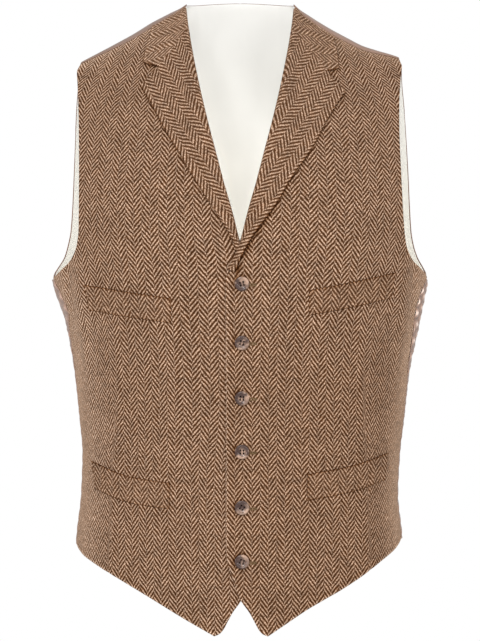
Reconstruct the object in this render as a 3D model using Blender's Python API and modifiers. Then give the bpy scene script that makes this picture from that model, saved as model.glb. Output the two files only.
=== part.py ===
"""Single-breasted suit waistcoat with notched lapels, filled out as when worn.

Metres, +Z up. The front faces -Y and the wearer's left is +X. The origin lies between the
two neck points, where the shoulders carry the garment, so every height is a drop below it.
The tables are in millimetres. Their columns are named in the first string of each.
"""
import math

import bmesh
import bpy
import numpy as np
from mathutils import Matrix, Vector
from mathutils.bvhtree import BVHTree

MM = 0.001
LEFT, RIGHT = 1, -1
FRONT, BACK = -1, 1

# Walls and clearances
FRONT_WALL = 2.2 * MM
LAPEL_WALL = 1.8 * MM
WELT_WALL = 1.5 * MM
LINING_WALL = 1.0 * MM
BACK_WALL = 1.2 * MM
GAP = 0.3 * MM
LYING_GAP = 0.6 * MM
SEAM_GAP = 0.45 * MM
SEAM_TURN = math.radians(0.14)
BACK_RISE = LINING_WALL + GAP
SEARCH_HEIGHT = 30 * MM

# Worn form, drawn as rounded rings that narrow to the shoulder line at the top
ROUNDING = {FRONT: 2.15, BACK: 2.3}
SHOULDER_REACH = {FRONT: 200 * MM, BACK: 170 * MM}
SHOULDER_POWER = {FRONT: 1.5, BACK: 1.6}
RIDGE_SET_BACK = 10 * MM
NECK_HALF = 56.5 * MM
BACK_NECK_RISE = 4 * MM
NECK_EDGE_STEP = 1.5 * MM
SHOULDER_HALF = 168.5 * MM
SEAM_BELOW_RIDGE = (1.0 * MM, 3.6 * MM)

# The wearer's left front laps over the right one and is lifted clear of it
LAP_LIFT = 2.8 * MM
LAP_FLAT = 16 * MM
LAP_FADE = 80 * MM
LAP_TOP = 165 * MM
LAP_FULL = 258 * MM

# A lapel rolls round the front's edge, which stands back from the roll line
ROLL_INSET = 3.3 * MM
ROLL_END = (286 * MM, 291 * MM)
UNDERARM = 290 * MM
HEM_LIFT = {LEFT: 6.5 * MM, RIGHT: 0.5 * MM}
HEM_LIFT_SPAN = (500 * MM, 573 * MM)
HEM_BOW_SPAN = (510 * MM, 573 * MM)
# The right front's point reaches nearer the centre
POINT_SHIFT = {LEFT: 0, RIGHT: 2.1 * MM}
POINT_SHIFT_SPAN = (585 * MM, 612 * MM)
STANDARD_SHOULDER = 60 * MM

FRONT_COLUMNS = 13
NECK_COLUMNS = 4
BACK_COLUMNS = 6
SETTLING_STEPS = 4

BUTTON_HOLE_RADIUS = 0.85 * MM
BUTTON_HOLE_SPACING = 3.1 * MM
BUTTON_HOLE_SIDES = 6
BUTTON_HOLE_CUT = 8 * MM
BUTTON_X = 2 * MM
BUTTON_DROPS = (297.5, 358.0, 415.3, 471.0, 529.0, 584.5)


def table(columns, rows):
    """Columns of millimetres by name, in metres."""
    return dict(zip(columns.split(), np.array(rows, float).T * MM))


FORM = table("drop half_left half_right front back", [
    (0, 240, 240, 96, 78),
    (60, 236, 236, 105, 90),
    (130, 225, 225, 113, 98),
    (200, 210, 210, 118, 101),
    (250, 201, 201, 118.5, 98.5),
    (290, 196.8, 197.2, 117.5, 94.5),
    (340, 187.2, 181.5, 113.5, 88),
    (385, 177.8, 173.5, 109.5, 82),
    (440, 171.4, 167.5, 105.5, 78),
    (475, 167.2, 164.5, 104, 78),
    (520, 165, 166, 104.5, 82),
    (560, 169, 170.5, 106.5, 88),
    (600, 171.5, 173, 108, 92),
    (665, 173.5, 174.5, 109.5, 95),
])

RIDGE = table("out left right", [
    (0, -58, -58),
    (8, -57, -57),
    (24, -49, -49),
    (42, -26, -26),
    (56.5, 1.9, 1.8),
    (74, 14.8, 11.4),
    (92, 26, 20.8),
    (112, 36.9, 33.1),
    (130, 46, 43),
    (146, 51.1, 51.5),
    (162, 55.7, 59.8),
    (176, 61, 67.5),
])

# Distance of the front edge from the centre towards its own side
FRONT_EDGE = table("drop out", [
    (0, 56.5), (26, 53.5), (62, 47.2), (87, 42.3), (124, 34.1), (153.5, 27),
    (190, 17.5), (211, 11.9), (258, 0), (274, -7), (288.5, -14.5), (300, -14.7),
    (560, -14.7), (578, -14.0), (594, -9.8), (612, -4.6), (624, 0.5), (637, 9.6),
    (647, 15.1), (654, 18.8), (659, 23), (661.5, 28.5),
])

ARMHOLE = {
    LEFT: table("drop front back", [
        (58, 168.5, 168.5), (63, 171.2, 171.2), (70, 171.8, 172), (82, 170.2, 172.6),
        (110, 167.1, 175.8), (140, 166.2, 178.1), (180, 167.2, 180.3), (215, 168.6, 181.6),
        (240, 170.2, 182.8), (256, 172.2, 185.2), (268, 176.8, 188.7), (279, 186.4, 193.8),
        (285, 192.4, 196), (290, 196, 196.5),
    ]),
    RIGHT: table("drop front back", [
        (62, 168.5, 168.5), (67, 171.2, 171.2), (74, 172, 172), (86, 171, 172.6),
        (110, 169.3, 174.8), (140, 168, 176.4), (180, 167.1, 178), (215, 166.9, 179.3),
        (240, 167.1, 180.8), (256, 168.8, 183.6), (268, 173.1, 186.8), (279, 182.8, 192.6),
        (285, 188.7, 195.6), (290, 194.5, 196.8),
    ]),
}

# Degrees from the widest line forward to the side seam
SIDE_SEAM = {
    "drop": np.array([290, 305, 325, 345, 375, 400, 470, 575]) * MM,
    LEFT: np.radians([7, 15, 17, 15, 11, 8, 6, 6]),
    RIGHT: np.radians([8, 15, 16.5, 10, 6, 4, 4, 4]),
}

# The hem hangs below a straight line from its point to the side seam: share of the way across,
# in thousandths, and how far below
HEM_BOW = table("share left right", [
    (0, 0, 0), (250, 0.5, 1.7), (420, 2.8, 2.1), (540, 5, 2.6), (700, 6.3, 3.7), (850, 5.6, 5),
    (930, 5.2, 5.2), (975, 3.2, 3.2), (1000, 0, 0),
])

# Rows of the panels below the underarm: drop at the front edge, side seam and centre back
LOW_ROWS = table("edge side centre", [
    (661.5, 573, 566.5), (657, 571, 564.5), (650, 568, 561.5), (638, 563, 557),
    (624, 556.5, 551), (610, 549.5, 545), (594, 540, 536), (578, 529, 526),
    (556, 511, 509), (533, 493, 491), (507, 472, 472), (480, 450, 451), (453, 427, 429),
    (425, 403, 405), (393, 376, 379), (358, 347, 351), (322, 317, 321), (291, 290, 294),
])

# Rows of the fronts above the underarm: drop at the edge and at the armhole, and how far
# the row follows the shoulder line, in thousandths
FRONT_ROWS = table("edge side follow", [
    (285.5, 287.5, 0), (272, 280, 0), (258, 271, 0), (243, 263, 10), (228, 254, 30),
    (211, 243, 50), (195, 232, 80), (177, 219, 130), (160, 206, 200), (143, 192, 300),
    (126, 178, 420), (110, 164, 550), (95, 150, 680), (70, 127, 880), (48, 106, 1000),
    (30, 88, 1000), (18, 76, 1000), (10.5, 68.5, 1000),
])
BACK_ROWS = table("centre side follow", [
    (278, 280, 0), (257, 265, 10), (229, 248, 30), (200, 229, 80), (166, 206, 200),
    (129, 178, 420), (95, 150, 680), (66, 127, 880), (42, 106, 1000), (23, 87, 1000),
    (10, 74, 1000), (1.8, 65.8, 1000),
])

# Each row runs from the roll line out to the lapel's edge
LAPEL = {
    LEFT: table("roll out drop", [
        (31, 109.4, 98.7), (50, 98.5, 114.3), (76, 86.5, 134.5), (100, 78.6, 150),
        (126, 67.4, 168), (154, 53.9, 186.5), (188, 40.2, 211.3), (218, 27, 231.5),
        (244, 14.2, 250.5), (266, 4.5, 268), (283, -3.1, 285.6),
    ]),
    RIGHT: table("roll out drop", [
        (31, 102.6, 92.5), (50, 94.5, 106.5), (76, 84, 126), (100, 75, 143),
        (126, 64.5, 160), (154, 54, 177.5), (188, 38.5, 203.5), (218, 24.5, 226.5),
        (242, 12.5, 247), (252, 6.5, 257),
    ]),
}
COLLAR = {
    LEFT: table("roll out drop follow", [
        (29.8, 88.4, 73.0, 0), (25, 102.7, 70.9, 200), (18, 101.3, 56, 500),
        (11, 99.5, 43, 800), (6.5, 98, 36, 1000),
    ]),
    RIGHT: table("roll out drop follow", [
        (29.8, 83.3, 68.0, 0), (25, 100, 62.5, 200), (18, 96.8, 48, 500),
        (11, 93.8, 36, 800), (6.5, 92, 27.2, 1000),
    ]),
}
FLAP_SHARES = (0.12, 0.35, 0.58, 0.8, 1.0)
FLAP_ROWS = {"lapel": 22, "collar": 7}

# Inside of the rolled edge: distance from the roll line and height above the form
ROLL = table("along height", [(2.4, 1.0), (1.8, 1.6), (2.2, 2.3), (3.3, 2.7)])

WELTS = {
    ("upper", LEFT): table("out drop", [(70.5, 304.3), (116, 295.5), (160, 285.5)]),
    ("upper", RIGHT): table("out drop", [(70.5, 312.4), (116, 305.5), (160, 298)]),
    ("lower", LEFT): table("out drop", [(69, 494.8), (112, 487), (154, 474)]),
    ("lower", RIGHT): table("out drop", [(72, 503.6), (112, 498), (154, 483)]),
}
WELT_HEIGHT = {"upper": 26 * MM, "lower": 27.5 * MM}
WELT_COLUMNS = 12
WELT_ROWS = 2
WELT_TAPER = 4 * MM

# Half profile of a button, from the dished middle over the rim to the back
BUTTON_PROFILE = [(0, 2.0), (3.9, 2.0), (5.1, 2.9), (6.7, 2.9), (7.5, 1.9), (7.2, 0.8), (5.2, 0), (0, 0)]
BUTTON_STEPS = 16

LOOKS = {
    "tweed": ((0.255, 0.158, 0.100), 0.9),
    "satin": ((0.52, 0.43, 0.39), 0.35),
    "lining": ((0.86, 0.83, 0.76), 0.6),
    "horn": ((0.13, 0.10, 0.09), 0.35),
}


def mix(a, b, share):
    return a + (b - a) * share


def ease(value, start, end):
    """0 at start and 1 at end, smooth at both."""
    share = min(max((value - start) / (end - start), 0.0), 1.0)
    return share * share * (3 - 2 * share)


def curve(data, wanted, at, by="drop"):
    """One column read at a value of another, on a smooth curve that never overshoots."""
    xs, ys = data[by], data[wanted]
    steps = np.diff(xs)
    slopes = np.diff(ys) / steps
    tangents = np.concatenate([slopes[:1], np.zeros(len(slopes) - 1), slopes[-1:]])
    same = slopes[:-1] * slopes[1:] > 0
    first, second = slopes[:-1][same], slopes[1:][same]
    tangents[1:-1][same] = 2 * first * second / (first + second)
    at = min(max(at, xs[0]), xs[-1])
    i = min(int(np.searchsorted(xs, at, side="right")) - 1, len(steps) - 1)
    t = (at - xs[i]) / steps[i]
    bulge = steps[i] * t * (1 - t) * ((1 - t) * tangents[i] - t * tangents[i + 1])
    return mix(ys[i], ys[i + 1], t * t * (3 - 2 * t)) + bulge


def side_name(x):
    return "left" if x >= 0 else "right"


def half_width(x, drop):
    return curve(FORM, "half_" + side_name(x), drop)


def ridge(x):
    """Drop of the shoulder line at x."""
    return curve(RIDGE, side_name(x), abs(x), by="out")


def x_at(turn, drop, side):
    """Distance from the centre towards one side, at an angle from the widest line."""
    across = math.cos(turn)
    power = 2 / ROUNDING[FRONT if turn > 0 else BACK]
    return math.copysign(half_width(side * across, drop) * abs(across) ** power, across)


def turn_at(out, drop, side, face):
    """Angle from the widest line, positive on the front, at a distance from the centre."""
    share = min(abs(out) / half_width(side * out, drop), 1.0)
    turn = math.acos(share ** (ROUNDING[face] / 2))
    if out < 0:
        turn = math.pi - turn
    return -face * turn


def depth_share(x, drop, face):
    """0 on the shoulder line, 1 where the full depth of the form is reached."""
    below = min(max((drop - ridge(x)) / SHOULDER_REACH[face], 0.0), 1.0)
    power = SHOULDER_POWER[face]
    return (1 - (1 - below) ** power) ** (1 / power)


def skin(x, drop, face):
    """Point of the form at x and drop, on its front or its back."""
    power = ROUNDING[face]
    across = (1 - min(abs(x) / half_width(x, drop), 1.0) ** power) ** (1 / power)
    depth = curve(FORM, "front" if face == FRONT else "back", drop)
    share = depth_share(x, drop, face)
    return Vector((x, RIDGE_SET_BACK * (1 - share) + face * depth * across * share, -drop))


def outward(x, drop, face):
    """Unit normal of the form."""
    step = 0.5 * MM
    along = skin(x + step, drop, face) - skin(x - step, drop, face)
    up = skin(x, drop - step, face) - skin(x, drop + step, face)
    return (along.cross(up) * -face).normalized()


def lap_lift(x, drop):
    """Height of the overlapping front above the form."""
    return LAP_LIFT * (1 - ease(x, LAP_FLAT, LAP_FADE)) * ease(drop, LAP_TOP, LAP_FULL)


def shoulder_end(side):
    return ridge(side * SHOULDER_HALF)


def side_drop(drop, side):
    """Drop at the side, with the armhole rows fitted between this shoulder and the underarm."""
    if drop >= UNDERARM:
        return drop - HEM_LIFT[side] * ease(drop, *HEM_LIFT_SPAN)
    share = (drop - STANDARD_SHOULDER) / (UNDERARM - STANDARD_SHOULDER)
    return mix(shoulder_end(side), UNDERARM, share)


def side_turn(drop, side, face):
    """Angle of the side seam, or of the armhole edge above it."""
    if drop >= UNDERARM:
        seam = curve(SIDE_SEAM, side, drop)
        return seam + (SEAM_TURN if face == FRONT else -SEAM_TURN)
    out = curve(ARMHOLE[side], "front" if face == FRONT else "back", drop)
    return turn_at(out, drop, side, face)


def seam_below_ridge(out):
    """How far in front of the shoulder line its seam lies, as a drop."""
    share = (out - NECK_HALF) / (SHOULDER_HALF - NECK_HALF)
    return mix(*SEAM_BELOW_RIDGE, math.sin(math.pi * min(max(share, 0.0), 1.0)))


def front_out(drop, side):
    """Front edge of a front, stood back from the roll line where the lapel turns over it."""
    inset = ROLL_INSET * (1 - ease(drop, *ROLL_END))
    return curve(FRONT_EDGE, "out", drop) + inset - POINT_SHIFT[side] * ease(drop, *POINT_SHIFT_SPAN)


def row_drop(side, out, ends, drops, follow, top, bow):
    """Straight between the row's ends as seen from the front, bent along the top line or the hem."""
    share = (out - ends[0]) / (ends[1] - ends[0])
    bend = top(out) - mix(top(ends[0]), top(ends[1]), share)
    hang = curve(HEM_BOW, side_name(side), share, by="share")
    return mix(drops[0], drops[1], share) + follow * bend + bow * hang


def panel_row(side, turns, drops, follow, top, shares, bow=0.0):
    """Points across a panel, evenly turned between its two edges."""
    ends = [x_at(turn, drop, side) for turn, drop in zip(turns, drops)]
    points = []
    for share in shares:
        turn = mix(turns[0], turns[1], share)
        drop = mix(drops[0], drops[1], share)
        for _ in range(SETTLING_STEPS):
            out = x_at(turn, drop, side)
            drop = row_drop(side, out, ends, drops, follow, top, bow)
        face = FRONT if turn > 0 else BACK
        depth = curve(FORM, "front" if face == FRONT else "back", drop)
        fullness = depth_share(side * out, drop, face)
        reach = depth * abs(math.sin(turn)) ** (2 / ROUNDING[face]) * fullness
        points.append(Vector((side * out, RIDGE_SET_BACK * (1 - fullness) + face * reach, -drop)))
    return points


def panel_levels(low, high):
    """Drops at both ends of each row of a panel, and how far it follows the shoulder line."""
    for at_end, at_side in zip(LOW_ROWS[low], LOW_ROWS["side"]):
        yield at_end, at_side, 0.0
    for at_end, at_side, follow in zip(high[low], high["side"], high["follow"]):
        yield at_end, at_side, follow / MM / 1000


def front_grid(side):
    """Rows of a front, each from its front edge to its side seam or armhole."""
    shares = np.linspace(0, 1, FRONT_COLUMNS + 1)
    rows = []
    for edge, at_side, follow in panel_levels("edge", FRONT_ROWS):
        drops = (edge, side_drop(at_side, side))
        turns = (turn_at(front_out(edge, side), edge, side, FRONT), side_turn(drops[1], side, FRONT))
        bow = ease(at_side, *HEM_BOW_SPAN)
        rows.append(panel_row(side, turns, drops, follow, lambda out: ridge(side * out), shares, bow))
    return rows + [seam_row(side, rows[-1])]


def seam_row(side, below):
    """The front's shoulder edge, a gap short of the back's own straight-sided edge."""
    seam = back_grid(side, GAP / 2)[-1][NECK_COLUMNS:]
    knots = [abs(point.x) for point in seam]
    outs = [NECK_HALF + ROLL_INSET] + [min(abs(point.x), SHOULDER_HALF) for point in below[1:]]
    row = []
    for out, lower in zip(outs, below):
        edge = Vector([np.interp(out, knots, [point[i] for point in seam]) for i in range(3)])
        row.append(edge + (lower - edge).normalized() * SEAM_GAP)
    return row


def back_top(out, side):
    """Neck edge inside the neck points, and the shoulder line outside them."""
    if out >= NECK_HALF:
        return ridge(side * out)
    return mix(-BACK_NECK_RISE, ridge(side * NECK_HALF), (out / NECK_HALF) ** 2)


def back_grid(side, start):
    """Rows of half a back, from the centre to the side, up and over the shoulder line."""
    end_turn = side_turn(shoulder_end(side), side, BACK)
    start_turn = turn_at(start, 0.0, side, BACK)
    neck_share = (turn_at(NECK_HALF, 0.0, side, BACK) - start_turn) / (end_turn - start_turn)
    neck = np.linspace(0, neck_share, NECK_COLUMNS + 1)
    shares = np.concatenate([neck, np.linspace(neck_share, 1, BACK_COLUMNS + 1)[1:]])
    rows = []
    for centre, at_side, follow in panel_levels("centre", BACK_ROWS):
        drops = (centre, side_drop(at_side, side))
        turns = (turn_at(start, centre, side, BACK), side_turn(drops[1], side, BACK))
        rows.append(panel_row(side, turns, drops, follow, lambda out: back_top(out, side), shares))
    outs = [min(abs(point.x), SHOULDER_HALF) for point in rows[-1]]
    outs[NECK_COLUMNS] = NECK_HALF
    on_ridge, over = [], []
    for out in outs:
        x = side * out
        if out < NECK_HALF:
            on_ridge.append(skin(x, back_top(out, side) + NECK_EDGE_STEP, BACK))
            over.append(skin(x, back_top(out, side), BACK))
        else:
            on_ridge.append(skin(x, ridge(x), BACK))
            over.append(skin(x, ridge(x) + seam_below_ridge(out), FRONT))
    return rows + [on_ridge, over]


def grid_mesh(name, rows, flip):
    """Open mesh through rows of points, each cell split along its shorter diagonal."""
    work = bmesh.new()
    grid = [[work.verts.new(point) for point in row] for row in rows]
    for low, high in zip(grid, grid[1:]):
        for a, b, c, d in zip(low, low[1:], high[1:], high):
            if (a.co - c.co).length < (b.co - d.co).length:
                halves = (a, b, c), (a, c, d)
            else:
                halves = (a, b, d), (b, c, d)
            for corners in halves:
                work.faces.new(reversed(corners) if flip else corners)
    work.normal_update()
    mesh = bpy.data.meshes.new(name)
    work.to_mesh(mesh)
    work.free()
    mesh.shade_smooth()
    return mesh


def material(name):
    if name in bpy.data.materials:
        return bpy.data.materials[name]
    colour, roughness = LOOKS[name]
    made = bpy.data.materials.new(name)
    made.use_nodes = True
    shader = made.node_tree.nodes["Principled BSDF"]
    shader.inputs["Base Color"].default_value = (*colour, 1)
    shader.inputs["Roughness"].default_value = roughness
    shader.inputs["Metallic"].default_value = 0
    return made


def add_object(name, mesh, look, collection):
    piece = bpy.data.objects.new(name, mesh)
    if not mesh.materials:
        mesh.materials.append(material(look))
    collection.objects.link(piece)
    return piece


def cloth(name, rows, flip, wall, look, collection, rise=None):
    """A wall of cloth that grows outwards from a grid, first raised by rise at each point."""
    mesh = grid_mesh(name, rows, flip)
    if rise:
        normals = [vertex.normal.copy() for vertex in mesh.vertices]
        for vertex, normal in zip(mesh.vertices, normals):
            vertex.co += normal * rise(vertex.co)
    piece = add_object(name, mesh, look, collection)
    solidify = piece.modifiers.new("Wall", "SOLIDIFY")
    solidify.thickness = wall
    solidify.offset = 1
    return piece


def outer_faces(piece):
    """Search tree over a finished panel, for what lies on it."""
    mesh = piece.evaluated_get(bpy.context.evaluated_depsgraph_get()).to_mesh()
    work = bmesh.new()
    work.from_mesh(mesh)
    tree = BVHTree.FromBMesh(work)
    work.free()
    return tree


def lying_point(x, drop, height, panel):
    """Point at a height above the form, and no nearer to the panel than the gap."""
    base, normal = skin(x, drop, FRONT), outward(x, drop, FRONT)
    _, _, _, distance = panel.ray_cast(base + normal * SEARCH_HEIGHT, -normal, SEARCH_HEIGHT)
    if distance is not None:
        height = max(height, SEARCH_HEIGHT - distance + LYING_GAP)
    return base + normal * height


def flap_grid(side, data, count, panel):
    """Lapel or collar: the rolled edge, then across the front to the flap's own edge."""
    under = FRONT_WALL + LYING_GAP
    data = dict(data, order=np.linspace(0, 1, len(data["roll"])))
    data.setdefault("follow", np.zeros(len(data["roll"])))
    grid = []
    for order in np.linspace(0, 1, count):
        roll, out, drop, follow = (
            curve(data, wanted, order, by="order") for wanted in ("roll", "out", "drop", "follow"))
        start = Vector((curve(FRONT_EDGE, "out", roll), roll))
        span = Vector((out, drop)) - start
        along = span.normalized()
        places = [(start + along * reach, height) for reach, height in zip(ROLL["along"], ROLL["height"])]
        first = ROLL["along"][-1]
        for share in FLAP_SHARES:
            places.append((start + along * mix(first, span.length, share), under))
        line = []
        for place, height in places:
            share = (place.x - start.x) / span.x
            bend = ridge(side * place.x) - mix(ridge(side * start.x), ridge(side * out), share)
            place.y += bend * follow / MM / 1000
            lift = lap_lift(place.x, place.y) if side == LEFT else 0.0
            line.append(lying_point(side * place.x, place.y, height + lift, panel))
        grid.append(line)
    return grid


def welt_grid(side, top, height, panel):
    """A straight band on a front, slightly shorter at its lower edge."""
    grid = []
    for low in np.linspace(1, 0, WELT_ROWS + 1):
        outs = np.linspace(top["out"][0], top["out"][-1] - WELT_TAPER * low, WELT_COLUMNS + 1)
        line = []
        for out in outs:
            drop = curve(top, "drop", out, by="out") + height * low
            line.append(lying_point(side * out, drop, FRONT_WALL + LYING_GAP, panel))
        grid.append(line)
    return grid


def hole_cutter(collection):
    work = bmesh.new()
    half = BUTTON_HOLE_SPACING / 2
    for x in (-half, half):
        for y in (-half, half):
            bmesh.ops.create_cone(
                work, cap_ends=True, segments=BUTTON_HOLE_SIDES, radius1=BUTTON_HOLE_RADIUS,
                radius2=BUTTON_HOLE_RADIUS, depth=BUTTON_HOLE_CUT, matrix=Matrix.Translation((x, y, 0)))
    mesh = bpy.data.meshes.new("button_holes")
    work.to_mesh(mesh)
    work.free()
    cutter = bpy.data.objects.new("button_holes", mesh)
    cutter.hide_render = True
    cutter.display_type = "WIRE"
    collection.objects.link(cutter)
    return cutter


def button_mesh(cutters):
    """Four-hole button turned about +Z, its back at z = 0."""
    profile = bpy.data.meshes.new("button_profile")
    points = [(radius * MM, 0, height * MM) for radius, height in BUTTON_PROFILE]
    profile.from_pydata(points, [(i, i + 1) for i in range(len(points) - 1)], [])
    turned = bpy.data.objects.new("button_turned", profile)
    cutters.objects.link(turned)
    screw = turned.modifiers.new("Turn", "SCREW")
    screw.steps = BUTTON_STEPS
    screw.render_steps = BUTTON_STEPS
    screw.use_merge_vertices = True
    screw.merge_threshold = 0.01 * MM
    cut = turned.modifiers.new("Holes", "BOOLEAN")
    cut.operation = "DIFFERENCE"
    cut.object = hole_cutter(cutters)
    depsgraph = bpy.context.evaluated_depsgraph_get()
    mesh = bpy.data.meshes.new_from_object(turned.evaluated_get(depsgraph))
    mesh.name = "button"
    bpy.data.objects.remove(turned)
    return mesh


def add_fronts(parts):
    panels = {}
    for side in (LEFT, RIGHT):
        name = "front_" + side_name(side)
        rise = (lambda co: lap_lift(co.x, -co.z)) if side == LEFT else None
        piece = cloth(name, front_grid(side), side == RIGHT, FRONT_WALL, "tweed", parts, rise)
        panels[side] = outer_faces(piece)
    return panels


def add_back(parts):
    halves = {side: back_grid(side, GAP / 2) for side in (LEFT, RIGHT)}
    for side, rows in halves.items():
        name = "back_" + side_name(side)
        cloth(name, rows, side == LEFT, BACK_WALL, "satin", parts, lambda co: BACK_RISE)
    whole = []
    for low, high in zip(back_grid(RIGHT, 0.0), back_grid(LEFT, 0.0)):
        whole.append(low[:0:-1] + high)
    cloth("lining_back", whole, True, LINING_WALL, "lining", parts)


def add_flaps(parts, panels):
    for side in (LEFT, RIGHT):
        for kind, data in (("lapel", LAPEL), ("collar", COLLAR)):
            name = kind + "_" + side_name(side)
            grid = flap_grid(side, data[side], FLAP_ROWS[kind], panels[side])
            if kind == "lapel":
                grid.reverse()
            cloth(name, grid, side == RIGHT, LAPEL_WALL, "tweed", parts)


def add_welts(parts, panels):
    for (place, side), top in WELTS.items():
        name = "welt_" + place + "_" + side_name(side)
        grid = welt_grid(side, top, WELT_HEIGHT[place], panels[side])
        cloth(name, grid, side == RIGHT, WELT_WALL, "tweed", parts)


def add_buttons(parts, cutters):
    mesh = button_mesh(cutters)
    mesh.shade_smooth()
    for number, drop in enumerate(BUTTON_DROPS, 1):
        drop *= MM
        normal = outward(BUTTON_X, drop, FRONT)
        height = lap_lift(BUTTON_X, drop) + FRONT_WALL + GAP
        button = add_object(f"button_{number}", mesh, "horn", parts)
        button.location = skin(BUTTON_X, drop, FRONT) + normal * height
        button.rotation_euler = normal.to_track_quat("Z", "Y").to_euler()


def collection(name):
    made = bpy.data.collections.new(name)
    bpy.context.scene.collection.children.link(made)
    return made


def main():
    for old in list(bpy.data.objects):
        bpy.data.objects.remove(old)
    parts, cutters = collection("suit_waistcoat"), collection("cutters")
    panels = add_fronts(parts)
    add_back(parts)
    add_flaps(parts, panels)
    add_welts(parts, panels)
    add_buttons(parts, cutters)


main()
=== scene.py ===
import math

import bmesh
import bpy
import numpy as np
from mathutils import Matrix, Vector


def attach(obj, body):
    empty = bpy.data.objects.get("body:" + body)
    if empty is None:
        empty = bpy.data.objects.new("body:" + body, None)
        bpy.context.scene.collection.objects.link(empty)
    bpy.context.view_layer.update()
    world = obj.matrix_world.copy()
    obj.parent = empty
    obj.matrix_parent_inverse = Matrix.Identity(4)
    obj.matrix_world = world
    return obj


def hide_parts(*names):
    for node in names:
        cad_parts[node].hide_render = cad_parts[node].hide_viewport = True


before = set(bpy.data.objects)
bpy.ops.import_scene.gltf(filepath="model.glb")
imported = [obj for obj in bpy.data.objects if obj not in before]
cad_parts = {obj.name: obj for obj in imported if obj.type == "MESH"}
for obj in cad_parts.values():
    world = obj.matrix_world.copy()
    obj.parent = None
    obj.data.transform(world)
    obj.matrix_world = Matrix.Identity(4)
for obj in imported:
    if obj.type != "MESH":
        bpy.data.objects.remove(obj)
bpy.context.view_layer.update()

# Tables are in millimetres, everything else in metres
MM, CM = 0.001, 0.01
LEFT, RIGHT = 1, -1
SIDES = (LEFT, RIGHT)
SIDE_NAMES = {LEFT: "left", RIGHT: "right"}
FRONT, BACK = -1, 1

# The worn form and the panels' edges, as the solids have them
ROUNDING = {FRONT: 2.15, BACK: 2.3}
SHOULDER_REACH = {FRONT: 200 * MM, BACK: 170 * MM}
SHOULDER_POWER = {FRONT: 1.5, BACK: 1.6}
RIDGE_SET_BACK = 10 * MM
NECK_HALF = 56.5 * MM
BACK_NECK_RISE = 4 * MM
SHOULDER_HALF = 168.5 * MM
# The shoulder seam lies this far below the shoulder line: at its ends and in between
SEAM_BELOW_RIDGE = (1.2 * MM, 5.1 * MM)
# The left front's lift over the right one, and how far out it starts to fade and has gone
LAP_LIFT, LAP_FLAT, LAP_FADE = 2.8 * MM, 16 * MM, 80 * MM
LAP_TOP, LAP_FULL = 165 * MM, 258 * MM
ROLL_INSET = 3.3 * MM
ROLL_END = (286 * MM, 291 * MM)
UNDERARM = 290 * MM
HEM_LIFT = {LEFT: 6.5 * MM, RIGHT: 0.5 * MM}
HEM_LIFT_SPAN = (500 * MM, 573 * MM)
STANDARD_SHOULDER = 60 * MM
SEAM_TURN = math.radians(0.14)
SEAM_GAP = 0.5 * MM
HALF_GAP = 0.15 * MM

# Heights of each layer's two sides above the form
LINING_SIDES = (0.1 * MM, 1.0 * MM)
SATIN_SIDES = (1.35 * MM, 2.5 * MM)
FRONT_SIDES = (0.15 * MM, 2.2 * MM)
FLAP_BELOW, FLAP_WALL = 2.75 * MM, 1.9 * MM
WELT_BELOW, WELT_WALL = 2.3 * MM, 1.1 * MM


def table(columns, rows):
    """Columns by name, divided by 1000: millimetres to metres, thousandths to shares."""
    return dict(zip(columns.split(), np.array(rows, float).T * MM))


FORM = table("drop half_left half_right front back", [
    (0, 240, 240, 96, 78), (60, 236, 236, 105, 90), (130, 225, 225, 113, 98),
    (200, 210, 210, 118, 101), (250, 201, 201, 118.5, 98.5), (290, 196.8, 197.2, 117.5, 94.5),
    (340, 187.2, 181.5, 113.5, 88), (385, 177.8, 173.5, 109.5, 82), (440, 171.4, 167.5, 105.5, 78),
    (475, 167.2, 164.5, 104, 78), (520, 165, 166, 104.5, 82), (560, 169, 170.5, 106.5, 88),
    (600, 171.5, 173, 108, 92), (665, 173.5, 174.5, 109.5, 95),
])
RIDGE = table("out left right", [
    (0, -58, -58), (8, -57, -57), (24, -49, -49), (42, -26, -26), (56.5, 1.9, 1.8),
    (74, 14.8, 11.4), (92, 26, 20.8), (112, 36.9, 33.1), (130, 46, 43), (146, 51.1, 51.5),
    (162, 55.7, 59.8), (176, 61, 67.5),
])
FRONT_EDGE = table("drop out", [
    (0, 56.5), (26, 53.5), (62, 47.2), (87, 42.3), (124, 34.1), (153.5, 27),
    (190, 17.5), (211, 11.9), (258, 0), (274, -7), (288.5, -14.5), (300, -14.7),
    (560, -14.7), (578, -14.0), (594, -9.8), (612, -4.6), (624, 0.5), (637, 9.6),
    (647, 15.1), (654, 18.8), (659, 23), (661.5, 28.5),
])
ARMHOLE = {
    LEFT: table("drop front back", [
        (58, 168.5, 168.5), (63, 171.0, 171.2), (70, 170.8, 172), (82, 169.0, 172.8),
        (110, 166.8, 175.8), (140, 166.2, 178.1), (180, 167.2, 180.3), (215, 168.6, 181.6),
        (240, 170.2, 182.8), (256, 172.2, 185.2), (268, 176.8, 188.7), (279, 186.4, 193.8),
        (285, 192.4, 196), (290, 196, 196.5),
    ]),
    RIGHT: table("drop front back", [
        (62, 168.5, 168.5), (67, 171.2, 171.2), (74, 172, 172), (86, 171, 172.6),
        (110, 169.3, 174.8), (140, 168, 176.4), (180, 167.1, 178), (215, 166.9, 179.3),
        (240, 167.1, 180.8), (256, 168.8, 183.6), (268, 173.1, 186.8), (279, 182.8, 192.6),
        (285, 188.7, 195.6), (290, 194.5, 196.8),
    ]),
}
SIDE_SEAM = {
    "drop": np.array([290, 305, 325, 345, 375, 400, 470, 575]) * MM,
    LEFT: np.radians([7, 15, 17, 15, 11, 8, 6, 6]),
    RIGHT: np.radians([8, 15, 16.5, 10, 6, 4, 4, 4]),
}
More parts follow.
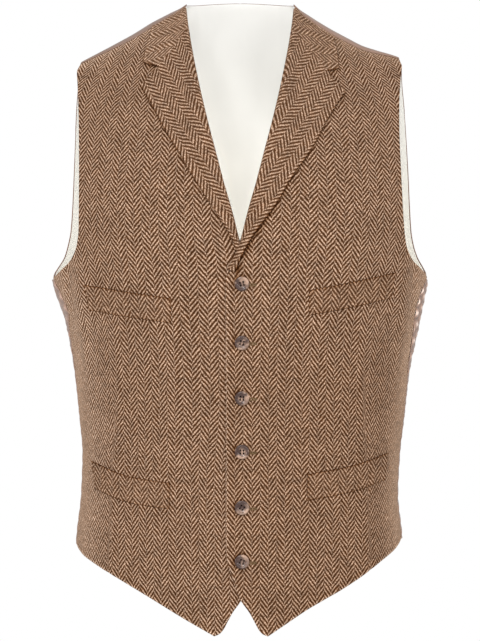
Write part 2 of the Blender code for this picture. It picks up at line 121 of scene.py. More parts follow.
# The hem hangs below a straight line from its point to the side seam: share of the way across,
# in thousandths, and how far below
HEM_BOW = table("share left right", [
    (0, 0, 0), (250, 0.5, 1.7), (420, 2.8, 2.1), (540, 5, 2.6), (700, 6.3, 3.7), (850, 5.6, 5),
    (930, 5.2, 5.2), (975, 3.2, 3.2), (1000, 0, 0),
])
HEM_BOW_SPAN = (510 * MM, 573 * MM)
# The right front's point reaches nearer the centre
POINT_SHIFT = {LEFT: 0, RIGHT: 2.1 * MM}
POINT_SHIFT_SPAN = (585 * MM, 612 * MM)
# Rows of the panels: drop at the front edge or centre back, drop at the side, and how far the
# row follows the shoulder line, in thousandths
LOW_ROWS = table("edge side centre", [
    (661.5, 573, 566.5), (657, 571, 564.5), (650, 568, 561.5), (638, 563, 557),
    (624, 556.5, 551), (610, 549.5, 545), (594, 540, 536), (578, 529, 526),
    (556, 511, 509), (533, 493, 491), (507, 472, 472), (480, 450, 451), (453, 427, 429),
    (425, 403, 405), (393, 376, 379), (358, 347, 351), (322, 317, 321), (291, 290, 294),
])
FRONT_ROWS = table("edge side follow", [
    (285.5, 287.5, 0), (272, 280, 0), (258, 271, 0), (243, 263, 10), (228, 254, 30),
    (211, 243, 50), (195, 232, 80), (177, 219, 130), (160, 206, 200), (143, 192, 300),
    (126, 178, 420), (110, 164, 550), (95, 150, 680), (70, 127, 880), (48, 106, 1000),
    (30, 88, 1000), (18, 76, 1000), (10.5, 68.5, 1000),
])
BACK_ROWS = table("centre side follow", [
    (278, 280, 0), (257, 265, 10), (229, 248, 30), (200, 229, 80), (166, 206, 200),
    (129, 178, 420), (95, 150, 680), (66, 127, 880), (42, 106, 1000), (23, 87, 1000),
    (10, 74, 1000), (1.8, 65.8, 1000),
])
LAPEL = {
    LEFT: table("roll out drop", [
        (31, 109.4, 98.7), (50, 98.5, 114.3), (76, 86.5, 134.5), (100, 78.6, 150),
        (126, 67.4, 168), (154, 53.9, 186.5), (188, 40.2, 211.3), (218, 27, 231.5),
        (244, 14.2, 250.5), (266, 4.5, 268), (283, -3.1, 285.6),
    ]),
    RIGHT: table("roll out drop", [
        (31, 102.6, 92.5), (50, 94.5, 106.5), (76, 84, 126), (100, 75, 143),
        (126, 64.5, 160), (154, 54, 177.5), (188, 38.5, 203.5), (218, 24.5, 226.5),
        (242, 12.5, 247), (252, 7.5, 257), (260, 4.5, 266),
    ]),
}
COLLAR = {
    LEFT: table("roll out drop follow sag", [
        (30.5, 88.9, 76.8, 0, 0), (25, 102.5, 72.2, 200, 0), (18, 101.3, 57.5, 500, 0.6),
        (11, 99.5, 46, 800, 1.8), (3.6, 97.5, 37.5, 1000, 3.4),
    ]),
    RIGHT: table("roll out drop follow sag", [
        (30.5, 83.8, 72.2, 0, 0), (25, 99.6, 65.5, 200, 0), (18, 96.8, 48.6, 500, 0.3),
        (11, 93.8, 37.3, 800, 0.9), (3.6, 91.5, 27, 1000, 1.7),
    ]),
}
# Inside of the rolled edge: distance from the roll line and height above the form
ROLL = table("along height", [
    (2.7, 0.8), (2.1, 1.1), (1.85, 1.6), (2.0, 2.15), (2.5, 2.55), (3.3, 2.75),
])
WELTS = {
    ("upper", LEFT): table("out drop", [(70.5, 304.3), (116, 295.5), (160, 285.5)]),
    ("upper", RIGHT): table("out drop", [(70.5, 312.4), (116, 305.5), (160, 298)]),
    ("lower", LEFT): table("out drop", [(69, 494.8), (112, 487), (154, 474)]),
    ("lower", RIGHT): table("out drop", [(72, 503.6), (112, 498), (154, 483)]),
}
WELT_HEIGHT = {"upper": 26 * MM, "lower": 27.5 * MM}
WELT_TAPER = 4 * MM
BUTTON_X, BUTTON_RADIUS = 2 * MM, 7.5 * MM
BUTTON_DROPS = (297.5, 358.0, 415.3, 471.0, 529.0, 584.5)

# How the herringbone lies. Its grain lines spread at the chest and draw in at the waist:
# spread is how far they stand from the centre, in thousandths of the chest's
GRAIN = table("drop spread", [
    (40, 790), (65, 842), (90, 897), (110, 932), (134, 954), (165, 976), (196, 998), (227, 1000),
    (258, 988), (288, 958), (319, 940), (350, 913), (400, 892), (567, 878), (640, 866),
])
CHEST_RING = 226 * MM
# Width of a herringbone column, as the look draws it and as it is on each front
COLUMN = 9.36 * MM
COLUMN_HERE = {LEFT: 9.63 * MM, RIGHT: 9.09 * MM}
FIRST_PEAK = {LEFT: 3.9 * MM, RIGHT: 11.6 * MM}
# Height of a twill step, and how many steps a line climbs across a column
TWILL_PITCH = 5.4 * MM
TWILL_RISE = 2.04
# Along the warp the steps stand as far apart as this, in the places that hang upright
TWILL = table("drop pitch", [(150, 5.2), (206, 5.2), (330, 5.55), (433, 5.32), (650, 5.32)])
UPRIGHT_BELOW = 230 * MM
SIDE_SQUEEZE = 1.18
# Near the centre the right front's columns stand wider apart: by how much, how far out, and
# the drops between which this sets in and ends
WIDER, WIDER_WITHIN = 0.125, 64 * MM
WIDER_SPAN, WIDER_END = (235 * MM, 275 * MM), (425 * MM, 495 * MM)
# Darts: where each one runs, how far it has closed, and what it takes in
DART = {
    LEFT: table("drop out", [(352, 127.5), (430, 128.5), (500, 131), (580, 135)]),
    RIGHT: table("drop out", [(384, 128), (440, 129), (510, 133.5), (580, 136)]),
}
DART_TIP = {LEFT: 352 * MM, RIGHT: 384 * MM}
DART_FULL = 95 * MM
DART_TAKES = 7 * MM
# Under the arms the cloth turns to the side along a soft ridge, this far out, and a painted highlight runs
# beside it, this far out
SIDE_TURN = {LEFT: 169 * MM, RIGHT: 165 * MM}
SIDE_HIGHLIGHT_AT = {LEFT: 177 * MM, RIGHT: 170 * MM}
# The drops where that begins and where it ends
UNDER_ARM, UNDER_ARM_END = (262 * MM, 285 * MM), (400 * MM, 520 * MM)


class Curve:
    """Smooth curve through points that never overshoots."""

    def __init__(self, xs, ys):
        self.xs, self.ys = np.asarray(xs, float), np.asarray(ys, float)
        self.steps = np.diff(self.xs)
        slopes = np.diff(self.ys) / self.steps
        self.tangents = np.concatenate([slopes[:1], np.zeros(len(slopes) - 1), slopes[-1:]])
        same = slopes[:-1] * slopes[1:] > 0
        first, second = slopes[:-1][same], slopes[1:][same]
        self.tangents[1:-1][same] = 2 * first * second / (first + second)

    def __call__(self, at):
        at = np.clip(at, self.xs[0], self.xs[-1])
        i = np.clip(np.searchsorted(self.xs, at, side="right") - 1, 0, len(self.steps) - 1)
        step = self.steps[i]
        t = (at - self.xs[i]) / step
        bulge = step * t * (1 - t) * ((1 - t) * self.tangents[i] - t * self.tangents[i + 1])
        return mix(self.ys[i], self.ys[i + 1], t * t * (3 - 2 * t)) + bulge


def mix(a, b, share):
    return a + (b - a) * share


def ease(value, start, end):
    """0 at start and 1 at end, smooth at both."""
    share = np.clip((value - start) / (end - start), 0.0, 1.0)
    return share * share * (3 - 2 * share)


def bump(value, centre, width):
    """A soft rise of 1 at the centre."""
    return np.exp(-((value - centre) / width) ** 2)


def swell(value, height, centre, width):
    """A soft rise. The named ones below are a height or a tone, a distance and a width."""
    return height * bump(value, centre, width)


def curve(rows, key, along="drop"):
    """One column of a table as a curve along another."""
    return Curve(rows[along], rows[key])


HALF_WIDTH = {LEFT: curve(FORM, "half_left"), RIGHT: curve(FORM, "half_right")}
DEPTH = {FRONT: curve(FORM, "front"), BACK: curve(FORM, "back")}
RIDGE_LINE = {LEFT: curve(RIDGE, "left", "out"), RIGHT: curve(RIDGE, "right", "out")}
HEM_LINE = {LEFT: curve(HEM_BOW, "left", "share"), RIGHT: curve(HEM_BOW, "right", "share")}
EDGE_LINE = curve(FRONT_EDGE, "out")
SPREAD = curve(GRAIN, "spread")
DART_LINE = {side: curve(DART[side], "out") for side in SIDES}


def half_width(x, drop):
    return np.where(np.asarray(x) >= 0, HALF_WIDTH[LEFT](drop), HALF_WIDTH[RIGHT](drop))


def ridge(x):
    return np.where(np.asarray(x) >= 0, RIDGE_LINE[LEFT](np.abs(x)), RIDGE_LINE[RIGHT](np.abs(x)))


def depth_share(x, drop, face):
    """0 on the shoulder line, 1 where the full depth of the form is reached."""
    below = np.clip((drop - ridge(x)) / SHOULDER_REACH[face], 0.0, 1.0)
    power = SHOULDER_POWER[face]
    return (1 - (1 - below) ** power) ** (1 / power)


def skin(x, drop, face):
    """Points of the form at x and drop, on its front or its back."""
    x, drop = np.broadcast_arrays(np.asarray(x, float), np.asarray(drop, float))
    power = ROUNDING[face]
    across = (1 - np.minimum(np.abs(x) / half_width(x, drop), 1.0) ** power) ** (1 / power)
    share = depth_share(x, drop, face)
    y = RIDGE_SET_BACK * (1 - share) + face * DEPTH[face](drop) * across * share
    return np.stack([x, y, -drop], axis=-1)


def unit(vectors):
    return vectors / np.maximum(np.linalg.norm(vectors, axis=-1, keepdims=True), 1e-12)


def outward(x, drop, face):
    """Unit normals of the form."""
    step = 0.5 * MM
    along = skin(x + step, drop, face) - skin(x - step, drop, face)
    up = skin(x, drop - step, face) - skin(x, drop + step, face)
    return unit(np.cross(along, up) * -face)


def x_at(turn, drop, side):
    across = np.cos(turn)
    power = np.where(turn > 0, 2 / ROUNDING[FRONT], 2 / ROUNDING[BACK])
    return np.sign(across) * half_width(side * across, drop) * np.abs(across) ** power


def place(turn, drop, side):
    """Points of the form at an angle from the widest line, positive on the front."""
    out = x_at(turn, drop, side)
    on_front = turn > 0
    fullness = np.where(on_front, depth_share(side * out, drop, FRONT), depth_share(side * out, drop, BACK))
    depth = np.where(on_front, DEPTH[FRONT](drop), DEPTH[BACK](drop))
    power = np.where(on_front, 2 / ROUNDING[FRONT], 2 / ROUNDING[BACK])
    reach = depth * np.abs(np.sin(turn)) ** power * fullness
    y = RIDGE_SET_BACK * (1 - fullness) + np.where(on_front, -reach, reach)
    return np.stack(np.broadcast_arrays(side * out, y, -drop), axis=-1)


def turn_at(out, drop, side, face):
    share = np.minimum(np.abs(out) / half_width(side * out, drop), 1.0)
    turn = np.arccos(share ** (ROUNDING[face] / 2))
    return -face * np.where(np.asarray(out) < 0, math.pi - turn, turn)


def lap_lift(x, drop):
    return LAP_LIFT * (1 - ease(x, LAP_FLAT, LAP_FADE)) * ease(drop, LAP_TOP, LAP_FULL)


def side_drop(drop, side):
    low = drop - HEM_LIFT[side] * ease(drop, *HEM_LIFT_SPAN)
    share = (drop - STANDARD_SHOULDER) / (UNDERARM - STANDARD_SHOULDER)
    return np.where(drop >= UNDERARM, low, mix(ridge(side * SHOULDER_HALF), UNDERARM, share))


def side_turn(drop, side, face, inset=0.0):
    seam = curve(SIDE_SEAM, side)(drop) - face * SEAM_TURN
    edge = curve(ARMHOLE[side], {FRONT: "front", BACK: "back"}[face])
    return np.where(drop >= UNDERARM, seam, turn_at(edge(drop) - inset, drop, side, face))


def seam_below_ridge(out):
    share = np.clip((out - NECK_HALF) / (SHOULDER_HALF - NECK_HALF), 0.0, 1.0)
    return mix(*SEAM_BELOW_RIDGE, np.sin(math.pi * share**0.75))


def front_out(drop, side):
    inset = ROLL_INSET * (1 - ease(drop, *ROLL_END))
    return EDGE_LINE(drop) + inset - POINT_SHIFT[side] * ease(drop, *POINT_SHIFT_SPAN)


def steps_with_fine_ends(count, ends=(0, 0.05, 0.14, 0.3, 0.6)):
    """Even steps from 0 to 1, closer at both ends, where a cloth edge is rounded."""
    return np.array([*ends, *range(1, count), *(count - end for end in reversed(ends))]) / count


def levels(end, upper, rows):
    """Drops at both ends of each row and how far it follows the shoulder line."""
    at_end = np.concatenate([LOW_ROWS[end], upper[end]])
    at_side = np.concatenate([LOW_ROWS["side"], upper["side"]])
    follow = np.concatenate([0 * LOW_ROWS["side"], upper["follow"]])
    knots = np.arange(len(at_end))
    return [Curve(knots, values)(rows * knots[-1])[:, None] for values in (at_end, at_side, follow)]


def panel(side, turns, drops, follow, top, shares, bow=0.0):
    """Points of a panel in rows between its two edges, bent along the top line."""
    ends = [x_at(turn, drop, side) for turn, drop in zip(turns, drops)]
    turn = mix(*turns, shares)
    drop = mix(*drops, shares) + 0 * turn
    for _ in range(4):
        out = x_at(turn, drop, side)
        share = (out - ends[0]) / (ends[1] - ends[0])
        bend = top(out) - mix(top(ends[0]), top(ends[1]), share)
        drop = mix(*drops, share) + follow * bend + bow * HEM_LINE[side](share)
    return place(turn, drop, side)


# Steps of the panels' grids, across and down
FRONT_STEPS, BACK_STEPS = (92, 190), (74, 150)


def front_grid(side):
    shares, rows = [steps_with_fine_ends(count) for count in FRONT_STEPS]
    edge, at_side, follow = levels("edge", FRONT_ROWS, rows)
    drops = (edge, side_drop(at_side, side))
    turns = (turn_at(front_out(edge, side), edge, side, FRONT), side_turn(drops[1], side, FRONT))
    bow = ease(at_side, *HEM_BOW_SPAN)
    points = panel(side, turns, drops, follow, lambda out: ridge(side * out), shares, bow)
    last = points[-1]
    out = np.clip(side * last[:, 0], NECK_HALF + ROLL_INSET, SHOULDER_HALF)
    seam = skin(side * out, ridge(side * out) + seam_below_ridge(out), FRONT)
    seam += unit(last - seam) * SEAM_GAP
    more = [mix(last, seam, share) for share in (0.25, 0.5, 0.75, 0.9, 1.0)]
    return np.concatenate([points, np.stack(more)])


# The last rows of the back begin this far below its neck line
NECK_ROWS = 1.5 * MM


def back_top(out, side):
    inside = mix(-BACK_NECK_RISE, ridge(side * NECK_HALF), (out / NECK_HALF) ** 2)
    return np.where(out >= NECK_HALF, ridge(side * out), inside)


def back_grid(side, start, inset=0.0):
    """Points of a back half, from this far beside its centre, up and over the shoulder line."""
    columns, rows = BACK_STEPS
    end_turn = side_turn(ridge(side * SHOULDER_HALF), side, BACK, inset)
    start_turn = turn_at(start, 0.0, side, BACK)
    neck_share = (turn_at(NECK_HALF, 0.0, side, BACK) - start_turn) / (end_turn - start_turn)
    inside = max(int(columns * neck_share), 6)
    neck = np.linspace(0, neck_share, inside + 1)
    # the fine steps are wanted at the armhole only
    rest = neck_share + (1 - neck_share) * steps_with_fine_ends(columns - inside)[5:]
    centre, at_side, follow = levels("centre", BACK_ROWS, steps_with_fine_ends(rows))
    drops = (centre, side_drop(at_side, side))
    turns = (turn_at(start, centre, side, BACK), side_turn(drops[1], side, BACK, inset))
    shares = np.concatenate([neck, rest])
    points = panel(side, turns, drops, follow, lambda out: back_top(out, side), shares)
    out = np.minimum(side * points[-1][:, 0], SHOULDER_HALF)
    out[inside] = NECK_HALF
    within = (out < NECK_HALF - 0.01 * MM)[:, None]
    over = []
    for share in (0.0, 0.25, 0.5, 0.75, 1.0):
        neck_points = skin(side * out, back_top(out, side) + NECK_ROWS * (1 - share), BACK)
        shoulder = skin(side * out, ridge(side * out) + seam_below_ridge(out) * share, FRONT)
        over.append(np.where(within, neck_points, shoulder))
    return np.concatenate([points, np.stack(over)])


def normals_of(points, face):
    """Unit normals of a grid, on the side of the garment's front or back."""
    normals = unit(np.cross(np.gradient(points, axis=1), np.gradient(points, axis=0)))
    return normals * np.sign(face * normals[..., 1].mean())


def from_edges(points):
    """How far each grid point is from the left, right, low and high edge, along the cloth."""
    across = np.linalg.norm(np.diff(points, axis=1), axis=-1)
    along = np.linalg.norm(np.diff(points, axis=0), axis=-1)
    left = np.pad(np.cumsum(across, axis=1), ((0, 0), (1, 0)))
    low = np.pad(np.cumsum(along, axis=0), ((1, 0), (0, 0)))
    return left, left[:, -1:] - left, low, low[-1:, :] - low


def nearest(*distances):
    return np.minimum.reduce(distances)


def rounded(distance, radius, least=0.3):
    """Share of a wall's full height near its edge."""
    near = np.clip(distance / radius, 0.0, 1.0)
    return least + (1 - least) * np.sqrt(1 - (1 - near) ** 2)


def linked(name, data):
    """A new object in the scene, from a mesh, a camera or a light."""
    made = bpy.data.objects.new(name, data)
    bpy.context.scene.collection.objects.link(made)
    return made


def set_values(mesh, name, values):
    """One number for each point of a mesh, which its look reads by this name."""
    mesh.attributes.new(name, "FLOAT", "POINT").data.foreach_set("value", values)


def wall_mesh(name, outer, inner, fabric, looks, shade=1.0, pattern=1.0):
    """Closed cloth between two grids of points. fabric is the cloth's own plane, shade lightens
    or darkens it, and pattern says how clear its weave is."""
    rows, columns = outer.shape[:2]
    count = rows * columns
    points = np.concatenate([outer.reshape(-1, 3), inner.reshape(-1, 3)])
    index = np.arange(count).reshape(rows, columns)
    corners = [index[:-1, :-1], index[:-1, 1:], index[1:, 1:], index[1:, :-1]]
    quads = np.stack(corners, axis=-1).reshape(-1, 4)
    rim = np.concatenate([index[0, :-1], index[:-1, -1], index[-1, :0:-1], index[:0:-1, 0]])
    after = np.roll(rim, -1)
    edge = np.stack([after, rim, rim + count, after + count], axis=-1)
    faces = np.concatenate([quads, quads[:, ::-1] + count, edge])
    mesh = bpy.data.meshes.new(name)
    mesh.from_pydata(points.tolist(), [], faces.tolist())
    first, second, _, fourth = quads[len(quads) // 2]
    facing = np.cross(points[second] - points[first], points[fourth] - points[first])
    if facing @ (points[first] - points[first + count]) < 0:
        mesh.flip_normals()
    for look in looks:
        mesh.materials.append(look)
    if len(looks) > 1:
        slots = np.zeros(len(faces), dtype=np.int32)
        slots[len(quads):2 * len(quads)] = 1
        mesh.polygons.foreach_set("material_index", slots)
    layer = mesh.uv_layers.new(name="cloth")
    used = np.empty(len(mesh.loops), dtype=np.int32)
    mesh.loops.foreach_get("vertex_index", used)
    plane = np.tile(fabric.reshape(-1, 2), (2, 1)) / CM
    layer.data.foreach_set("uv", plane[used].astype(np.float32).ravel())
    for key, values in (("shade", shade), ("pattern", pattern)):
        one_side = np.broadcast_to(values, (rows, columns)).ravel()
        set_values(mesh, key, np.tile(one_side, 2).astype(np.float32))
    mesh.shade_smooth()
    mesh.validate()
    return linked(name, mesh)


# Soft troughs and ridges: middle, how far they reach along and across, how they lean in degrees
# from upright, and height
FOLD = "out drop long wide lean height"
FRONT_FOLDS = {
    LEFT: table(FOLD, [
        (150, 330, 60, 13, -24, -1.1), (128, 318, 46, 12, -30, 0.7), (60, 250, 70, 20, 32, -0.6),
        (98, 420, 90, 26, 6, 0.5), (150, 450, 90, 11, 3, -0.9), (40, 560, 60, 22, 14, -0.5),
        (112, 590, 45, 20, 24, 0.6), (118, 120, 60, 22, -8, -0.6),
    ]),
    RIGHT: table(FOLD, [
        (152, 345, 66, 14, -20, -1.2), (126, 330, 50, 12, -34, 0.6), (70, 268, 80, 22, 28, -0.5),
        (92, 400, 80, 24, 9, 0.6), (148, 470, 80, 10, 2, -0.8), (52, 575, 52, 20, 18, -0.5),
        (120, 600, 48, 22, 20, 0.5), (124, 140, 70, 20, -6, -0.6),
    ]),
}
BACK_FOLDS = {
    LEFT: table(FOLD, [
        (150, 330, 75, 15, 26, -2.6), (118, 360, 95, 17, 20, 2.2), (78, 400, 110, 16, 12, -2.4),
        (40, 430, 120, 18, 5, 1.9), (112, 470, 80, 14, -12, -1.8), (60, 520, 70, 15, -6, 1.5),
        (122, 150, 95, 22, 12, -1.8), (82, 170, 110, 20, 6, 1.5), (142, 540, 45, 13, -10, 1.4),
    ]),
    RIGHT: table(FOLD, [
        (146, 345, 80, 15, 24, -2.5), (112, 380, 90, 17, 17, 2.3), (72, 412, 120, 15, 9, -2.2),
        (34, 455, 100, 17, 3, 1.8), (116, 488, 75, 14, -10, -1.9), (66, 535, 60, 14, -8, 1.3),
        (128, 165, 90, 20, 10, -1.7), (88, 185, 120, 21, 4, 1.6), (140, 528, 48, 12, -8, 1.5),
    ]),
}


def folds(data, out, drop):
    """Height of the creases at points of a panel."""
    height = np.zeros(np.broadcast(out, drop).shape)
    for middle, low, long, wide, lean, rise in zip(*data.values()):
        angle = math.radians(lean / MM)
        along = (drop - low) * math.cos(angle) - (out - middle) * math.sin(angle)
        across = (out - middle) * math.cos(angle) + (drop - low) * math.sin(angle)
        height += rise * np.exp(-(along / long) ** 2 - (across / wide) ** 2)
    return height


def under_arm(drop):
    return ease(drop, *UNDER_ARM) * (1 - ease(drop, *UNDER_ARM_END))


# The turned side under the arm is a ledge with a trough beyond it, which end at these shares
# of the half width
LEDGE, TROUGH = (2.2 * MM, 0, 8 * MM), (-2.6 * MM, 14 * MM, 7 * MM)
LEDGE_END = (0.91, 0.945)
# The dart is a groove in cloth that is a little full on both sides, deeper below its tip
GROOVE, FULLNESS = (-0.75 * MM, 0, 2.2 * MM), (0.45 * MM, 0, 9 * MM)
GROOVE_DEEPENS = (-12 * MM, 60 * MM)
# Creases begin this far below the shoulder line
FRONT_CREASES_BEGIN, BACK_CREASES_BEGIN = (2 * MM, 45 * MM), (4 * MM, 70 * MM)


def front_lift(side, x, drop):
    """Height above the form of a front and of all that lies on it: creases and lap."""
    out = side * x
    reach = under_arm(drop) * (1 - ease(out / half_width(x, drop), *LEDGE_END))
    from_ledge = out - SIDE_TURN[side]
    ledge = swell(from_ledge, *LEDGE) + swell(from_ledge, *TROUGH)
    from_dart = out - DART_LINE[side](drop)
    closed = ease(drop - DART_TIP[side], *GROOVE_DEEPENS)
    groove = swell(from_dart, *GROOVE) + swell(from_dart, *FULLNESS)
    creases = folds(FRONT_FOLDS[side], out, drop) * ease(drop - ridge(x), *FRONT_CREASES_BEGIN)
    lap = lap_lift(x, drop) if side == LEFT else 0
    return creases + ledge * reach + groove * closed + lap


def chest_arc():
    """Distance round the chest ring from the centre, by distance out."""
    out = np.linspace(0, 0.999 * HALF_WIDTH[LEFT](CHEST_RING), 800)
    points = skin(out, CHEST_RING, FRONT)
    run = np.concatenate([[0], np.cumsum(np.linalg.norm(np.diff(points, axis=0), axis=-1))])
    return out, run


ARC = chest_arc()


def grain(out, drop):
    """Distance along the weft at a place on a front, from the centre outwards."""
    return np.sign(out) * np.interp(np.abs(out) / SPREAD(drop), *ARC)


def warp_length(x, drop):
    """Distance down the warp, longer than the drop where the cloth leans back to the shoulder."""
    share = np.linspace(0, 1, 40) ** 2
    low = np.maximum(drop, UPRIGHT_BELOW)[..., None]
    points = skin(x[..., None], mix(drop[..., None], low, share), FRONT)
    length = np.linalg.norm(np.diff(points, axis=-2), axis=-1).sum(axis=-1)
    return low[..., 0] - length


def twill_length(length):
    """The same distance, counted in steps of the twill."""
    at, step = np.linspace(-100 * MM, 700 * MM, 1601, retstep=True)
    steps = step * TWILL_PITCH / curve(TWILL, "pitch")(at)
    return np.interp(length, at, np.cumsum(steps))


def from_first_column(side, across):
    """A distance along the weft as the herringbone counts it, in its own columns."""
    return (across - FIRST_PEAK[side]) / COLUMN_HERE[side] * COLUMN


def front_fabric(side, points):
    """The front's own plane: across its herringbone columns, and down them."""
    out, drop = side * points[..., 0], -points[..., 2]
    dart = DART_LINE[side](drop)
    closed = DART_TAKES * ease(drop, DART_TIP[side], DART_TIP[side] + DART_FULL)
    middle = np.minimum(out, dart)
    if side == RIGHT:
        wider = WIDER * ease(drop, *WIDER_SPAN) * (1 - ease(drop, *WIDER_END))
        middle = middle + wider * np.maximum(WIDER_WITHIN - middle, 0)
    inside = grain(middle, drop)
    # beyond the dart line the cloth runs round the side, so it is measured on the form
    flat = points * np.array([1.0, 1.0, 0.0])
    level = np.gradient(points[..., 2], axis=1)
    step = np.linalg.norm(np.gradient(flat, axis=1), axis=-1)
    step = np.sqrt(np.maximum(step**2 - (0.5 * level) ** 2, 0))
    beyond = np.clip((out - dart) / (2 * MM), 0, 1)
    run = np.cumsum(step * beyond, axis=1) * SIDE_SQUEEZE / SPREAD(drop)
    across = inside + run + closed * ease(out, dart - 0.4 * MM, dart + 0.4 * MM)
    down = twill_length(warp_length(points[..., 0], drop))
    return np.stack([from_first_column(side, across), down], axis=-1)


class Graph:
    """Builds one material's nodes. An input is given by its name, or by a line and its number."""

    def __init__(self, name):
        self.material = bpy.data.materials.new(name)
        self.material.use_nodes = True
        self.tree = self.material.node_tree

    def set(self, inputs, key, value):
        socket = inputs[int(key[1:]) if key[0] == "_" else key.replace("_", " ")]
        if isinstance(value, bpy.types.NodeSocket):
            self.tree.links.new(value, socket)
        elif hasattr(value, "__len__") and len(value) == 3 and socket.type == "RGBA":
            socket.default_value = (*value, 1)
        else:
            socket.default_value = value

    def node(self, kind, output=0, fields=None, **inputs):
        made = self.tree.nodes.new(kind)
        for key, value in (fields or {}).items():
            setattr(made, key, value)
        for key, value in inputs.items():
            self.set(made.inputs, key, value)
        return made.outputs[output]

    def math(self, operation, a, b=0.0, c=0.0):
        return self.node("ShaderNodeMath", 0, {"operation": operation}, _0=a, _1=b, _2=c)

    def add(self, a, b):
        return self.math("ADD", a, b)

    def multiply(self, a, b):
        return self.math("MULTIPLY", a, b)

    def centred(self, value, by=1.0):
        """A value from 0 to 1, moved to lie round 0 and scaled."""
        return self.multiply(self.math("SUBTRACT", value, 0.5), by)

    def ramp(self, value, low, high, to_low=0.0, to_high=1.0):
        return self.node("ShaderNodeMapRange", 0, {"interpolation_type": "SMOOTHSTEP"},
                         _0=value, _1=low, _2=high, _3=to_low, _4=to_high)

    def colour(self, share, a, b, blend="MIX"):
        return self.node("ShaderNodeMix", 2, {"data_type": "RGBA", "blend_type": blend},
                         _0=share, _6=a, _7=b)

    def times(self, colour, *tones):
        """A colour times one tone, or times one for each of its channels."""
        red, green, blue = tones if len(tones) == 3 else tones * 3
        factor = self.node("ShaderNodeCombineColor", 0, _0=red, _1=green, _2=blue)
        return self.colour(1.0, colour, factor, "MULTIPLY")

    def noise(self, vector, scale, detail=2.0, output=0):
        return self.node("ShaderNodeTexNoise", output, Vector=vector, Scale=scale, Detail=detail)

    def drawn_noise(self, u, v, by_u, by_v, detail=2.0):
        """Noise on the cloth's plane, with a scale of its own for each direction."""
        at = self.node("ShaderNodeCombineXYZ", 0, _0=self.multiply(u, by_u), _1=self.multiply(v, by_v))
        return self.noise(at, 1.0, detail)

    def attribute(self, name):
        return self.node("ShaderNodeAttribute", 2, {"attribute_name": name})

    def parts(self, vector):
        """The first two parts of a vector."""
        made = self.tree.nodes.new("ShaderNodeSeparateXYZ")
        self.tree.links.new(vector, made.inputs[0])
        return made.outputs[0], made.outputs[1]

    def cloth(self):
        """The cloth's own plane, in centimetres."""
        uv = self.node("ShaderNodeUVMap", 0, {"uv_map": "cloth"})
        return uv, *self.parts(uv)

    def bump(self, height, distance, strength=1.0, **normal):
        return self.node("ShaderNodeBump", 0, Height=height, Distance=distance, Strength=strength, **normal)

    def finish(self, **inputs):
        for key, value in inputs.items():
            self.set(self.tree.nodes["Principled BSDF"].inputs, key, value)
        return self.material


TWEED_DARK = (0.045, 0.0135, 0.0016)
TWEED_LIGHT = (0.228, 0.133, 0.080)
TWEED_FLECK = (0.48, 0.335, 0.245)


def tweed(name):
    """Herringbone: columns of twill that lean by turns, broken by half a step between them."""
    g = Graph(name)
    uv, u, v = g.cloth()
    drift_u, drift_v = g.parts(g.noise(uv, 0.55, 1.0, output=1))
    u = g.add(u, g.centred(drift_u, 0.16))
    v = g.add(v, g.centred(drift_v, 0.26))
    v = g.add(v, g.centred(g.noise(uv, 3.6, 3.0), 0.26))
    share = g.math("FRACT", g.math("DIVIDE", u, 2 * COLUMN / CM))
    second = g.math("GREATER_THAN", share, 0.5)
    zigzag = g.multiply(g.math("ABSOLUTE", g.math("SUBTRACT", share, 0.5)), 2 * TWILL_RISE)
    steps = g.add(g.math("DIVIDE", v, TWILL_PITCH / CM), g.add(zigzag, g.multiply(second, 0.5)))
    yarn = g.drawn_noise(u, v, 7.0, 7.0, 3.0)
    wave = g.add(g.math("COSINE", g.multiply(steps, 2 * math.pi)), g.centred(yarn, 2.6))
    shade, pattern = g.attribute("shade"), g.attribute("pattern")
    line = g.math("SUBTRACT", g.ramp(wave, -0.75, 0.85), 0.5)
    line = g.math("MULTIPLY_ADD", line, pattern, 0.5)
    nap = g.noise(uv, 9.0, 3.0)
    blotch = g.noise(uv, 1.7, 4.0)
    cloud = g.noise(uv, 0.33)
    fleck = g.ramp(g.add(wave, g.multiply(nap, 2.4)), 1.5, 2.6)
    base = g.colour(line, TWEED_DARK, TWEED_LIGHT)
    base = g.colour(g.multiply(fleck, pattern), base, TWEED_FLECK)
    rough = g.math("MULTIPLY_ADD", pattern, -1.3, 2.22)
    tone = g.math("MULTIPLY_ADD", g.ramp(nap, 0.25, 0.75, -0.32, 0.32), rough, 1.0)
    tone = g.add(tone, g.ramp(blotch, 0.3, 0.7, -0.2, 0.2))
    tone = g.add(tone, g.ramp(cloud, 0.3, 0.7, -0.07, 0.07))
    base = g.times(base, g.multiply(tone, shade))
    # painted shade is browner, and the painted sheen of the nap at the sides is greyer
    warm, pale = g.math("MINIMUM", shade, 1.0), g.math("MAXIMUM", shade, 1.0)
    green = g.multiply(g.math("POWER", warm, 0.45), g.math("POWER", pale, 0.18))
    blue = g.multiply(warm, g.math("POWER", pale, 0.35))
    base = g.times(base, 1.0, green, blue)
    dull = g.math("POWER", shade, 2.0)
    normal = g.bump(g.add(g.multiply(line, 0.7), g.multiply(nap, 0.55)), 0.00028, 0.8)
    return g.finish(Base_Color=base, Roughness=0.92, Normal=normal,
                    Specular_IOR_Level=g.multiply(dull, 0.05), Sheen_Weight=g.multiply(dull, 0.07),
                    Sheen_Roughness=0.5, Sheen_Tint=(0.85, 0.60, 0.42))


def scaled(colour, factor):
    return tuple(factor * part for part in colour)


SATIN_BASE = (0.285, 0.178, 0.133)
SATIN_HIGHLIGHT = (0.80, 0.64, 0.55)


